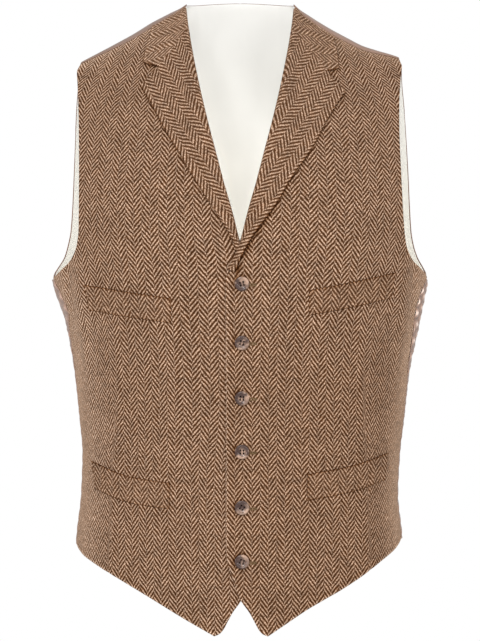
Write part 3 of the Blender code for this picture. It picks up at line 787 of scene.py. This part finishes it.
def satin(name):
    g = Graph(name)
    uv, u, v = g.cloth()
    yarn = g.drawn_noise(u, v, 22.0, 1.6)
    soft = g.noise(uv, 0.7)
    shade = g.colour(g.ramp(yarn, 0.3, 0.7), scaled(SATIN_BASE, 0.93), scaled(SATIN_BASE, 1.06))
    shade = g.colour(g.ramp(soft, 0.35, 0.65, 0.0, 0.22), shade, scaled(SATIN_BASE, 0.86))
    ripple = g.drawn_noise(u, v, 1.4, 0.5)
    normal = g.bump(ripple, 0.0014, 0.35, Normal=g.bump(yarn, 0.00006, 0.5))
    # the shade attribute paints light and shade, and whitens to a painted highlight on the gathers' crests
    tone = g.attribute("shade")
    shade = g.colour(g.ramp(tone, 1.25, 2.2), g.times(shade, tone), SATIN_HIGHLIGHT)
    return g.finish(Base_Color=shade, Roughness=g.ramp(soft, 0.3, 0.7, 0.3, 0.4), Normal=normal,
                    Specular_IOR_Level=0.3)


def plain_lining(name):
    g = Graph(name)
    uv, u, v = g.cloth()
    yarn = g.drawn_noise(u, v, 20.0, 20.0)
    soft = g.noise(uv, 0.35)
    # lighter lower down: painted light against the shade deep inside the garment, and creamier there
    shade = g.colour(g.ramp(v, 2.0, 26.0), (0.775, 0.77, 0.752), (0.95, 0.93, 0.875))
    shade = g.colour(g.ramp(yarn, 0.3, 0.7, 0.0, 0.08), shade, (0.84, 0.815, 0.76))
    normal = g.bump(soft, 0.002, 0.15, Normal=g.bump(yarn, 0.00005, 0.5))
    return g.finish(Base_Color=g.times(shade, g.attribute("shade")), Roughness=0.5, Normal=normal,
                    Specular_IOR_Level=0.4, Sheen_Weight=0.1, Sheen_Roughness=0.4)


def horn(name):
    g = Graph(name)
    where = g.node("ShaderNodeTexCoord", 3)
    veins = g.noise(where, 210.0, 4.0)
    cloud = g.noise(where, 90.0)
    # the light attribute paints light on one side of each button and shade on the other
    pale = g.math("MULTIPLY_ADD", g.attribute("light"), 0.27, veins)
    shade = g.colour(g.ramp(pale, 0.40, 0.72), (0.044, 0.021, 0.016), (0.385, 0.25, 0.18))
    shade = g.colour(g.ramp(cloud, 0.42, 0.66, 0.0, 0.6), shade, (0.06, 0.033, 0.027))
    return g.finish(Base_Color=shade, Roughness=g.ramp(veins, 0.3, 0.7, 0.24, 0.36),
                    Specular_IOR_Level=0.35, Coat_Weight=0.15, Coat_Roughness=0.15)


def thread(name, base):
    g = Graph(name)
    twist = g.noise(g.node("ShaderNodeTexCoord", 3), 2600.0)
    shade = g.colour(g.ramp(twist, 0.3, 0.7), scaled(base, 0.6), base)
    return g.finish(Base_Color=shade, Roughness=0.8, Specular_IOR_Level=0.1,
                    Normal=g.bump(twist, 0.0001, 0.8))


TWEED = tweed("tweed_herringbone")
SATIN = satin("satin_back")
LINING = plain_lining("lining_ivory")
HORN = horn("horn_buttons")
THREAD = thread("thread_brown", (0.016, 0.007, 0.005))
HOLE_THREAD = thread("thread_buttonhole", (0.175, 0.108, 0.052))


def finish_piece(piece, nodes):
    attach(piece, "root")
    if nodes:
        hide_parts(*nodes)


# The left front is a little darker below the chest
LOWER_TONE = {LEFT: 0.955, RIGHT: 0.99}
LOWER_SPAN = (300 * MM, 420 * MM)
# Towards the sides a painted sheen makes the nap paler: by how much, and how squarely the cloth faces the
# front where that begins. The shoulders differ from what is below them.
SHOULDER_SHEEN = (0.75, 0.74)
SIDE_SHEEN = {LEFT: (0.75, 0.74), RIGHT: (0.53, 0.88)}
SHOULDER_SPAN = (240 * MM, 285 * MM)
# The weave gets less clear there: the least and the most of it, and where it changes
SIDE_WEAVE = {LEFT: (0.4, 0.94, 0.45, 0.76), RIGHT: (0.6, 0.95, 0.40, 0.66)}
# The shadow that each flap casts beside its outer edge: depth at its upper and its lower end
CAST = {
    ("lapel", LEFT): (0.3, 0.62), ("lapel", RIGHT): (0.3, 0.12),
    ("collar", LEFT): (0.25, 0.3), ("collar", RIGHT): (0.25, 0.55),
}
CAST_WIDE = 1.25 * MM
# It follows this much of the edge that runs inwards from the corner
CAST_CORNER = 0.45
# A button's shadow on the cloth: depth, how far beyond its rim it is deepest, and width
BUTTON_CAST, BUTTON_CAST_OUT, BUTTON_CAST_WIDE = 0.6, 0.3 * MM, 1.5 * MM
# A front's edge has a painted highlight, with a darker line and a pressed line inside it
EDGE_HIGHLIGHT, EDGE_DARK = (0.3, 1.2 * MM, 1.4 * MM), (-0.15, 4.5 * MM, 1.5 * MM)
EDGE_PRESSED = (-0.22 * MM, 6.5 * MM, 1.6 * MM)
# The tone and the width of a painted highlight along the turned side
BAND_HIGHLIGHT, BAND_WIDE = 0.08, 6 * MM


def flap_shadows(side, out, drop):
    """How much a front is darkened beside the edges of its lapel and its collar end."""
    dark = np.zeros(out.shape)
    for kind, rows in (("lapel", LAPEL[side]), ("collar", COLLAR[side])):
        order = np.linspace(0, 1, len(rows["out"]))
        at = np.linspace(0, 1, 160)
        depth = mix(*CAST[kind, side], ease(at if kind == "lapel" else 1 - at, 0.1, 0.75))
        edge = np.stack([Curve(order, rows[key])(at) for key in ("out", "drop")], axis=-1)
        # and the first part of its top or bottom edge, inwards from the corner
        inner = np.array([EDGE_LINE(rows["roll"][0]), rows["roll"][0]])
        corner = mix(edge[0], inner, np.linspace(0, CAST_CORNER, 40)[:, None])
        depth = np.concatenate([np.full(len(corner), depth[0]), depth])
        for (edge_out, edge_drop), deep in zip(np.concatenate([corner, edge]), depth):
            away = np.hypot(out - edge_out, drop - edge_drop)
            dark = np.maximum(dark, deep * bump(away, 0, CAST_WIDE))
    return dark


def button_shadows(out, drop):
    """How much the left front is darkened round its buttons, most above and towards its edge."""
    dark = np.zeros(out.shape)
    for button in BUTTON_DROPS:
        right, below = out - BUTTON_X, drop - button * MM
        away = np.hypot(right, below)
        turned = 0.5 - 0.35 * (right + below) / np.maximum(away, 1 * MM)
        ring = bump(away, BUTTON_RADIUS + BUTTON_CAST_OUT, BUTTON_CAST_WIDE)
        dark = np.maximum(dark, BUTTON_CAST * turned * ring)
    return dark


def front_tone(side, base, normals, edge):
    """How pale a front is, with its painted highlights, sheen and shadows, and how clear its weave."""
    out, drop = side * base[..., 0], -base[..., 2]
    # a painted highlight along the front's edges, and a darker line inside it
    shade = 1 + swell(edge, *EDGE_HIGHLIGHT) + swell(edge, *EDGE_DARK)
    # a painted highlight along the turned side under the arm
    shade = shade + under_arm(drop) * swell(out, BAND_HIGHLIGHT, SIDE_HIGHLIGHT_AT[side], BAND_WIDE)
    shade = shade * mix(1.0, LOWER_TONE[side], ease(drop, *LOWER_SPAN))
    # the nap hides the weave where the cloth turns to the side, and a painted sheen makes it paler there
    facing = -normals[..., 1]
    below = ease(drop, *SHOULDER_SPAN)
    painted_sheen, begins = [mix(high, low, below) for high, low in zip(SHOULDER_SHEEN, SIDE_SHEEN[side])]
    shade = shade * (1 + painted_sheen * (1 - ease(facing, 0.38, begins)))
    dark = flap_shadows(side, out, drop)
    if side == LEFT:
        dark = np.maximum(dark, button_shadows(out, drop))
    least, most, at_side, at_front = SIDE_WEAVE[side]
    return shade * (1 - dark), mix(least, most, ease(facing, at_side, at_front))


def add_fronts():
    thin, thick = FRONT_SIDES
    for side in SIDES:
        name = "front_" + SIDE_NAMES[side]
        base = front_grid(side)
        normals = normals_of(base, FRONT)
        lift = front_lift(side, base[..., 0], -base[..., 2])
        start, end, low, high = from_edges(base)
        edge = nearest(start, low)
        full = rounded(nearest(edge, end + 0.4 * MM), 1.5 * MM)
        full = nearest(full, rounded(high, 1.0 * MM, 0.5))
        wall = thin + (thick - thin) * full + swell(edge, *EDGE_PRESSED)
        outer = base + normals * (lift + wall)[..., None]
        inner = base + normals * (lift + thin)[..., None]
        piece = wall_mesh(name + "_cloth", outer, inner, front_fabric(side, base), [TWEED, LINING],
                          *front_tone(side, base, normals, edge))
        finish_piece(piece, [name])


# How deeply the satin gathers under each arm, and how much painted shade darkens it at each shoulder
PUCKER = {LEFT: 2.0 * MM, RIGHT: 1.0 * MM}
SHOULDER_SHADE = {LEFT: 0.04, RIGHT: 0.22}
# The gathers: how far they reach from the seam and how far apart they are, and the drops where
# they begin and get fewer
PUCKER_REACH, PUCKER_STEP = 30 * MM, 13.2 * MM
PUCKER_BEGIN, PUCKER_FEWER = (284 * MM, 300 * MM), (345 * MM, 400 * MM)
# The centre seam's groove and the rise beside it, and the lowest that the satin gets
SEAM_GROOVE, SEAM_RISE = (-0.9 * MM, 0, 1.6 * MM), (0.25 * MM, 4 * MM, 2.2 * MM)
BACK_LOWEST = -0.25 * MM


def seam_puckers(side, points, end):
    """Where the satin gathers along the seam to the front, most under the arm, from -1 to 1."""
    drop = -points[..., 2]
    most = ease(drop, *PUCKER_BEGIN) * (1 - 0.75 * ease(drop, *PUCKER_FEWER))
    # they lean, and come at uneven steps that differ between the sides
    rhythm = (drop + 0.45 * end) / PUCKER_STEP + 0.35 * np.sin(drop / (23 * MM)) + 0.8 * side
    return bump(end, 0, PUCKER_REACH) * most * np.cos(2 * math.pi * rhythm)


def add_backs():
    thin, thick = SATIN_SIDES
    for side in SIDES:
        name = "back_" + SIDE_NAMES[side]
        base = back_grid(side, HALF_GAP)
        normals = normals_of(base, BACK)
        x, drop = base[..., 0], -base[..., 2]
        below = drop - ridge(x)
        start, end, low, high = from_edges(base)
        lift = folds(BACK_FOLDS[side], side * x, drop) * ease(below, *BACK_CREASES_BEGIN)
        fade = ease(nearest(end, high, low), 0, 22 * MM) * ease(start, 0, 10 * MM)
        puckers = seam_puckers(side, base, end)
        seam = swell(start, *SEAM_GROOVE) + swell(start, *SEAM_RISE)
        lift = np.maximum(lift * fade + PUCKER[side] * puckers + seam, BACK_LOWEST)
        full = rounded(nearest(end, low, start + 0.5 * MM), 1.0 * MM)
        outer = base + normals * (lift + thin + (thick - thin) * full)[..., None]
        inner = base + normals * (np.maximum(lift, 0) * 0.9 + thin)[..., None]
        fabric = np.stack([side * start, drop], axis=-1)
        # painted highlights on the gathers' crests, painted shade in their troughs and near the shoulder
        # line
        gleam = PUCKER[side] / (2 * MM) * (0.85 * np.maximum(puckers, 0) + 0.5 * np.minimum(puckers, 0))
        shade = np.exp(gleam) * (1 - SHOULDER_SHADE[side] * (1 - ease(below, 7 * MM, 20 * MM)))
        piece = wall_mesh(name + "_cloth", outer, inner, fabric, [SATIN], shade)
        finish_piece(piece, [name])


# The lining stays this far inside the armhole's satin edge
LINING_INSET = 0.3 * MM
# Its painted light and shade down the V, in thousandths: at the centre, and how much it changes to the
# wearer's left
LINING_PAINTED_LIGHT = table("drop middle tilt", [
    (10, 935, 0), (40, 930, -20), (66, 925, -75), (92, 900, -115), (120, 915, -155),
    (146, 950, -165), (172, 1010, -180), (200, 1000, -90), (238, 1080, 0),
])


def add_lining():
    thin, thick = LINING_SIDES
    left, right = [back_grid(side, 0.0, LINING_INSET) for side in SIDES]
    base = np.concatenate([right[:, :0:-1], left], axis=1)
    normals = normals_of(base, BACK)
    start, end, low, _ = from_edges(base)
    full = rounded(nearest(end, low, start), 1.0 * MM)
    outer = base + normals * (thin + (thick - thin) * full)[..., None]
    inner = base + normals * thin
    x, drop = base[..., 0], -base[..., 2]
    fabric = np.stack([start - start[:, -1:] / 2, drop], axis=-1)
    # painted light against the shade that falls on it: paler towards the roll lines and the armholes, which
    # shadow it, and changed down the V and from side to side
    share = np.clip(x / EDGE_LINE(drop), -1, 1)
    middle, tilt = [curve(LINING_PAINTED_LIGHT, key)(drop) for key in ("middle", "tilt")]
    shade = middle + 0.09 * ease(np.abs(share), 0.35, 1.0) + tilt * share
    shade = shade + 0.08 * ease(-share, 0.6, 1.0) * (1 - ease(drop, 80 * MM, 130 * MM))
    shade = mix(shade, 1.035 + 0.105 * np.sign(x), ease(np.abs(x), 110 * MM, 140 * MM))
    piece = wall_mesh("lining_back_cloth", outer, inner, fabric, [LINING], shade)
    finish_piece(piece, ["lining_back"])


FLAPS = {"lapel": LAPEL, "collar": COLLAR}
FLAP_STEPS = {"lapel": 110, "collar": 44}
SMALL_ENDS = (0, 0.1, 0.3, 0.6)
# How a flap's herringbone lies: what its columns stand across and run along, in degrees from
# level outwards, each with a scale, and how much they bow away from its middle height
FLAP_GRAIN = {
    ("lapel", LEFT): (60.3, 0.976, 54.5, 1.058, 0.65),
    ("lapel", RIGHT): (60.7, 0.98, 52.8, 1.021, 0.56),
    ("collar", LEFT): (175.9, 0.866, 187.6, 1.23, -0.76),
    ("collar", RIGHT): (165.5, 0.937, 188.9, 1.203, 0.28),
}
FLAP_MIDDLE = {"lapel": -132 * MM, "collar": -45 * MM}
FLAP_PATTERN = {"lapel": 0.82, "collar": 0.66}
# Its tone near its upper and its lower end
FLAP_SHADE = {
    ("lapel", LEFT): (1.045, 0.965), ("lapel", RIGHT): (1.025, 0.975),
    ("collar", LEFT): (1.12, 1.12), ("collar", RIGHT): (1.2, 1.2),
}
# The dark line along a flap's outer edge: depth, and width in millimetres, near its upper and
# near its lower end
EDGE_SHADOW = {LEFT: ((0.62, 0.9), (0.86, 1.35)), RIGHT: ((0.62, 0.85), (0.3, 0.85))}
# At the V's end the roll leans inwards by this much
V_END_LEAN, V_END_SPAN = 1.3 * MM, (190 * MM, 238 * MM)
# The cloth is fuller towards its roll, and again at its outer edge, where this fades inwards
ROLL_SPRING, ROLL_SPRING_SPAN = (0.7 * MM, 9 * MM, 9 * MM), (8 * MM, 60 * MM)
EDGE_SPRING, EDGE_SPRING_FADE = 0.7 * MM, 6 * MM
# The pressed line, and a painted highlight along a line inside the outer edge
FLAP_PRESSED, FLAP_EDGE_HIGHLIGHT = (-0.15 * MM, 6 * MM, 1.5 * MM), (0.2, 2.6 * MM, 1.2 * MM)
# Where its columns start, across and down
FLAP_SHIFT = {
    ("lapel", LEFT): (5.2 * MM, -0.2 * MM), ("lapel", RIGHT): (6.5 * MM, 0.0),
    ("collar", LEFT): (9.1 * MM, -2.3 * MM), ("collar", RIGHT): (13.3 * MM, -0.9 * MM),
}


def flap_fabric(kind, side, outer, start, along):
    """A flap's own plane: across its herringbone columns, and down them."""
    cross, cross_scale, run_down, down_scale, bow = FLAP_GRAIN[kind, side]
    cross, run_down = math.radians(cross), math.radians(run_down)
    # round the roll the plane runs on inwards
    run = from_edges(outer)[0]
    turned = len(ROLL["along"])
    reach = ROLL["along"][-1] + run - run[:, turned - 1:turned]
    level = start[:, :1] + along[:, :1] * reach
    up = -warp_length(side * level, start[:, 1:] + along[:, 1:] * reach)
    across_shift, down_shift = FLAP_SHIFT[kind, side]
    across = (level * math.sin(cross) - up * math.cos(cross)) * cross_scale + across_shift
    across = across + bow * (up - FLAP_MIDDLE[kind]) ** 2
    down = down_shift - (level * math.cos(run_down) + up * math.sin(run_down)) * down_scale
    return np.stack([across, down], axis=-1)


def add_flap(kind, side):
    data = FLAPS[kind][side]
    order = np.linspace(0, 1, len(data["roll"]))
    at = steps_with_fine_ends(FLAP_STEPS[kind], SMALL_ENDS)
    read = {key: Curve(order, values)(at) for key, values in data.items()}
    roll = read["roll"]
    follow, sag = [read.get(key, 0 * at)[:, None] for key in ("follow", "sag")]
    start = np.stack([EDGE_LINE(roll), roll], axis=-1)
    span = np.stack([read["out"], read["drop"]], axis=-1) - start
    length = np.linalg.norm(span, axis=-1)[:, None]
    along = span / length
    # first round the roll and then flat to the outer edge
    shares = steps_with_fine_ends(30, (0, 0.08, 0.2, 0.5))[1:]
    rolled = np.tile(ROLL["along"], (len(at), 1))
    reach = np.concatenate([rolled, mix(ROLL["along"][-1], length, shares)], axis=1)
    height = np.concatenate([ROLL["height"], np.full(len(shares), FLAP_BELOW)])
    reach = reach - V_END_LEAN * ease(roll, *V_END_SPAN)[:, None]
    places = start[:, None] + along[:, None] * reach[..., None]
    out, drop = places[..., 0], places[..., 1]
    share = (out - start[:, :1]) / span[:, :1]
    inner_top, outer_top = ridge(side * start[:, :1]), ridge(side * read["out"][:, None])
    drop = drop + follow * (ridge(side * out) - mix(inner_top, outer_top, share))
    drop = drop + 2 * sag * np.sqrt(np.clip(share * (1 - share), 0, 1))
    x = side * out
    spring = swell(reach, *ROLL_SPRING) * ease(roll, *ROLL_SPRING_SPAN)[:, None]
    spring = spring + EDGE_SPRING * np.exp(-(length - reach) / EDGE_SPRING_FADE)
    lift = height + front_lift(side, x, drop) + spring
    base = skin(x, drop, FRONT) + outward(x, drop, FRONT) * lift[..., None]
    _, right, low, high = from_edges(base)
    full = rounded(nearest(right, low, high), 1.3 * MM, 0.25)
    wall = FLAP_WALL * full + swell(right, *FLAP_PRESSED)
    outer = base + normals_of(base, FRONT) * wall[..., None]
    fabric = flap_fabric(kind, side, outer, start, along)
    lower = ease(roll, 110 * MM, 235 * MM)[:, None]
    # a painted shadow along the outer edge, a painted highlight inside it, and the flap's tone
    (depth, wide), (low_depth, low_wide) = EDGE_SHADOW[side]
    shade = 1 - mix(depth, low_depth, lower) * bump(right, 0, mix(wide, low_wide, lower) * MM)
    shade = (shade + swell(right, *FLAP_EDGE_HIGHLIGHT)) * mix(*FLAP_SHADE[kind, side], lower)
    name = kind + "_" + SIDE_NAMES[side]
    piece = wall_mesh(name + "_cloth", outer, base, fabric, [TWEED], shade, FLAP_PATTERN[kind])
    finish_piece(piece, [name])


# Where the welts' columns start, across and down, in millimetres beside the front's own
WELT_SHIFT = {
    ("upper", LEFT): (0.2, 2.2), ("upper", RIGHT): (-0.3, 1.7),
    ("lower", LEFT): (2.6, 3.1), ("lower", RIGHT): (-6.0, 2.0),
}
WELT_PATTERN = 0.82
# How far a welt stands open on top, and how deep the painted shade is along its foot and top, at its ends
# and at its upper inner corner
WELT_OPEN = 0.45 * MM
FOOT_SHADE, END_SHADE, CORNER_SHADE = (0.55, 0, 1.0 * MM), (0.35, 0, 1.0 * MM), (0.15, 0, 5 * MM)


def add_welts():
    down = steps_with_fine_ends(26, SMALL_ENDS)[::-1, None]
    across = steps_with_fine_ends(84, SMALL_ENDS)
    for (level, side), top in WELTS.items():
        outs = mix(top["out"][0], top["out"][-1] - WELT_TAPER * down, across)
        drops = Curve(top["out"], top["drop"])(outs) + WELT_HEIGHT[level] * down
        x = side * outs
        normals = outward(x, drops, FRONT)
        lift = front_lift(side, x, drops) + WELT_BELOW
        base = skin(x, drops, FRONT) + normals * lift[..., None]
        left, right, low, high = from_edges(base)
        foot, ends = nearest(low, high), nearest(left, right)
        # the welt is sewn down along its foot and its ends, and stands a little open on top
        wall = WELT_WALL * rounded(nearest(foot, ends), 1.0 * MM, 0.2)
        wall += WELT_OPEN * np.exp(-(high / (5 * MM))) * ease(ends, 2 * MM, 20 * MM)
        fabric = np.stack([from_first_column(side, grain(outs, drops)), twill_length(drops)], axis=-1)
        fabric += np.array(WELT_SHIFT[level, side]) * MM
        # painted shade along the welt's foot and top, at its ends and at its upper inner corner
        shade = nearest(1 - swell(foot, *FOOT_SHADE), 1 - swell(ends, *END_SHADE))
        shade = shade * (1 - swell(np.hypot(left, high), *CORNER_SHADE)) * LOWER_TONE[side]
        name = "welt_" + level + "_" + SIDE_NAMES[side]
        piece = wall_mesh(name + "_cloth", base + normals * wall[..., None], base, fabric, [TWEED],
                          shade, WELT_PATTERN)
        finish_piece(piece, [name])


# Radius and height in millimetres, from the middle of the face round to the middle of the back
BUTTON_PROFILE = [
    (0, 1.75), (1.5, 1.78), (3.2, 1.86), (4.3, 2.05), (4.9, 2.45), (5.4, 2.8), (6.0, 2.92),
    (6.6, 2.86), (7.1, 2.55), (7.42, 2.1), (7.5, 1.7), (7.35, 1.15), (6.9, 0.6), (6.2, 0.25),
    (5.2, 0.05), (0, 0),
]
HOLE_RADIUS, HOLE_FLOOR = 0.92 * MM, 0.6 * MM
# How far a hole's middle is from the button's, across and up
HOLE_OUT = 1.65 * MM
CUTTER_LONG = 8 * MM
# How high the button's back is above the form, where the left front has no lift
BUTTON_BELOW = 2.35 * MM


def button_mesh():
    profile = bpy.data.meshes.new("button_profile")
    points = [(radius * MM, 0, height * MM) for radius, height in BUTTON_PROFILE]
    profile.from_pydata(points, [(i, i + 1) for i in range(len(points) - 1)], [])
    turned = linked("button_turned", profile)
    screw = turned.modifiers.new("Turn", "SCREW")
    screw.steps = screw.render_steps = 56
    screw.use_merge_vertices = True
    screw.merge_threshold = 0.01 * MM
    work = bmesh.new()
    for x in (-HOLE_OUT, HOLE_OUT):
        for y in (-HOLE_OUT, HOLE_OUT):
            bmesh.ops.create_cone(work, cap_ends=True, segments=20, radius1=HOLE_RADIUS,
                                  radius2=HOLE_RADIUS, depth=CUTTER_LONG,
                                  matrix=Matrix.Translation((x, y, HOLE_FLOOR + CUTTER_LONG / 2)))
    cutter_mesh = bpy.data.meshes.new("holes")
    work.to_mesh(cutter_mesh)
    work.free()
    cutter = linked("holes", cutter_mesh)
    cut = turned.modifiers.new("Holes", "BOOLEAN")
    cut.operation, cut.object = "DIFFERENCE", cutter
    mesh = bpy.data.meshes.new_from_object(turned.evaluated_get(bpy.context.evaluated_depsgraph_get()))
    mesh.name = "button"
    bpy.data.objects.remove(turned)
    bpy.data.objects.remove(cutter)
    mesh.materials.clear()
    mesh.materials.append(HORN)
    mesh.materials.append(THREAD)
    # the holes' walls and floors take the dark thread: the thread in them, and painted shade deep inside
    # them
    for face in mesh.polygons:
        x, y, height = face.center
        across = math.hypot(abs(x) - HOLE_OUT, abs(y) - HOLE_OUT)
        face.material_index = int(across < HOLE_RADIUS + 0.02 * MM and 0.5 * MM < height < 1.6 * MM)
    mesh.shade_smooth()
    mesh.set_sharp_from_angle(angle=math.radians(50))
    return mesh


TUBE_SIDES = 8


def tube(path, radius, closed=False, ridges=0, ridge_height=0.0):
    """Points and faces of a tube along a path, ridged like whipped thread."""
    if closed:
        ahead = np.roll(path, -1, axis=0) - np.roll(path, 1, axis=0)
    else:
        ahead = np.gradient(path, axis=0)
    ahead = unit(ahead)
    sideways = unit(np.cross(ahead, [0, 0, 1.0]))
    up = np.cross(sideways, ahead)
    turns = np.linspace(0, 2 * math.pi, TUBE_SIDES, endpoint=False)[:, None]
    ring = sideways[:, None] * np.cos(turns) + up[:, None] * np.sin(turns)
    order = np.arange(len(path)) / len(path)
    thick = radius + ridge_height * np.cos(order * 2 * math.pi * ridges)
    points = path[:, None] + ring * thick[:, None, None]
    index = np.arange(len(path) * TUBE_SIDES).reshape(len(path), TUBE_SIDES)
    beside = np.roll(index, -1, axis=1)
    quads = np.stack([index, beside, np.roll(beside, -1, axis=0), np.roll(index, -1, axis=0)], axis=-1)
    if closed:
        return points.reshape(-1, 3), quads.reshape(-1, 4).tolist()
    caps = [index[0, ::-1].tolist(), index[-1].tolist()]
    return points.reshape(-1, 3), quads[:-1].reshape(-1, 4).tolist() + caps


def joined(name, parts, look):
    """One piece from the points and faces of several."""
    points, faces, count = [], [], 0
    for part_points, part_faces in parts:
        points.append(part_points)
        faces += [[corner + count for corner in face] for face in part_faces]
        count += len(part_points)
    mesh = bpy.data.meshes.new(name)
    mesh.from_pydata(np.concatenate(points).tolist(), [], faces)
    mesh.materials.append(look)
    mesh.validate()
    work = bmesh.new()
    work.from_mesh(mesh)
    bmesh.ops.recalc_face_normals(work, faces=work.faces)
    work.to_mesh(mesh)
    work.free()
    mesh.shade_smooth()
    return linked(name, mesh)


# Thread on a button: its radius, and its height above the button's back in a hole and on top
STITCH_RADIUS, STITCH_LOW, STITCH_HIGH = 0.14 * MM, 0.9 * MM, 2.0 * MM


def stitch(x):
    """One stitch of doubled thread from hole to hole, on a button's face."""
    ys = np.linspace(-HOLE_OUT, HOLE_OUT, 13)
    heights = mix(STITCH_LOW, STITCH_HIGH, np.cos(ys / HOLE_OUT * math.pi / 2) ** 0.5)
    paths = [np.stack([0 * ys + x + side * STITCH_RADIUS, ys, heights], axis=-1) for side in (-1, 1)]
    return [tube(path, STITCH_RADIUS) for path in paths]


# How each button is turned, and the side where its painted light falls, in degrees from level
BUTTON_SPIN = (15, -14, -4, 0, -32, -20)
LIT_SIDE = (60, -50, -25, -85, -45, 30)


def add_buttons():
    mesh = button_mesh()
    for number, (drop, degrees, lit_side) in enumerate(zip(BUTTON_DROPS, BUTTON_SPIN, LIT_SIDE), 1):
        drop *= MM
        normal = Vector(outward(BUTTON_X, drop, FRONT))
        height = float(front_lift(LEFT, BUTTON_X, drop)) + BUTTON_BELOW
        middle = Vector(skin(BUTTON_X, drop, FRONT)) + normal * height
        turn = normal.to_track_quat("Z", "Y").to_matrix().to_4x4()
        spun = Matrix.Translation(middle) @ turn @ Matrix.Rotation(math.radians(degrees), 4, "Z")
        button = linked(f"button_{number}_horn", mesh.copy())
        button.data.transform(spun)
        # painted light: the horn is paler on that side of each button and darker on the other
        lit_side = math.radians(lit_side)
        toward = Vector((math.cos(lit_side), 0, math.sin(lit_side))) / BUTTON_RADIUS
        light = [(point.co - middle).dot(toward) for point in button.data.vertices]
        set_values(button.data, "light", light)
        finish_piece(button, [f"button_{number}"])
        threads = joined(f"button_{number}_thread", stitch(-HOLE_OUT) + stitch(HOLE_OUT), THREAD)
        threads.data.transform(spun)
        finish_piece(threads, [])


# A buttonhole's middle, beside the centre line and below its button, and half its size
HOLE_PLACE, HOLE_HALF = (6.6 * MM, 1.2 * MM), (10.2 * MM, 1.0 * MM)
# Its thread is whipped: radius, how many times round, and how much each turn stands out
WHIP_RADIUS, WHIPS, WHIP_HEIGHT = 0.62 * MM, 50, 0.12 * MM


def add_buttonholes():
    """Worked holes in the left front, mostly under their buttons."""
    turns = np.linspace(0, 2 * math.pi, 150, endpoint=False)
    long = np.sign(np.cos(turns)) * np.abs(np.cos(turns)) ** 0.35
    for number, drop in enumerate(BUTTON_DROPS, 1):
        xs = HOLE_PLACE[0] + HOLE_HALF[0] * long
        drops = drop * MM + HOLE_PLACE[1] + HOLE_HALF[1] * np.sin(turns)
        lift = FRONT_SIDES[1] + 0.05 * MM + front_lift(LEFT, xs, drops)
        path = skin(xs, drops, FRONT) + outward(xs, drops, FRONT) * lift[:, None]
        whipped = tube(path, WHIP_RADIUS, True, WHIPS, WHIP_HEIGHT)
        piece = joined(f"buttonhole_{number}", [whipped], HOLE_THREAD)
        finish_piece(piece, [])


def add_camera():
    data = bpy.data.cameras.new("camera")
    data.sensor_fit = "HORIZONTAL"
    data.sensor_width = 36
    data.lens = 282.9
    data.clip_start, data.clip_end = 0.1, 30
    camera = linked("camera", data)
    camera.location = (0, -4.0, -0.3356)
    camera.rotation_euler = (math.pi / 2, 0, 0)
    bpy.context.scene.camera = camera


def add_light(name, location, target, size, power):
    data = bpy.data.lights.new(name, "AREA")
    data.shape, data.size, data.energy = "DISK", size, power
    light = linked(name, data)
    light.location = location
    light.rotation_euler = (Vector(target) - Vector(location)).to_track_quat("-Z", "Y").to_euler()


FLOOR_HALF, FLOOR_HEIGHT = 2.2, -1.12


def add_stage():
    mesh = bpy.data.meshes.new("floor")
    square = ((-1, -1), (1, -1), (1, 1), (-1, 1))
    corners = [(x * FLOOR_HALF, y * FLOOR_HALF, FLOOR_HEIGHT) for x, y in square]
    mesh.from_pydata(corners, [], [(0, 1, 2, 3)])
    floor = linked("floor", mesh)
    mesh.materials.append(Graph("floor_pale").finish(Base_Color=(0.86, 0.86, 0.85), Roughness=0.7))
    world = bpy.data.worlds.new("world")
    world.use_nodes = True
    background = world.node_tree.nodes["Background"]
    background.inputs[0].default_value = (1, 1, 1, 1)
    # white behind the garment, and a softer light on it
    seen = world.node_tree.nodes.new("ShaderNodeLightPath")
    strength = world.node_tree.nodes.new("ShaderNodeMapRange")
    strength.inputs["To Min"].default_value = 0.68
    world.node_tree.links.new(seen.outputs["Is Camera Ray"], strength.inputs["Value"])
    world.node_tree.links.new(strength.outputs[0], background.inputs[1])
    bpy.context.scene.world = world
    add_light("key", (-0.7, -2.3, 1.0), (0, 0, -0.3), 0.7, 38)
    add_light("fill", (1.1, -2.3, 0.4), (0, 0, -0.35), 1.2, 16)
    add_light("low", (0, -2.0, 0.1), (0, 0.09, -0.3), 0.5, 5)
    for side in SIDES:
        add_light(f"side_{SIDE_NAMES[side]}", (side * 2.2, -1.0, 0.0), (0, 0, -0.35), 0.5, 9)
    view = bpy.context.scene.view_settings
    view.view_transform = "Standard"
    view.look = "None"
    view.exposure = 0
    view.gamma = 1


add_camera()
add_stage()
add_fronts()
add_backs()
add_lining()
for flap_kind in FLAPS:
    for flap_side in SIDES:
        add_flap(flap_kind, flap_side)
add_welts()
add_buttons()
add_buttonholes()
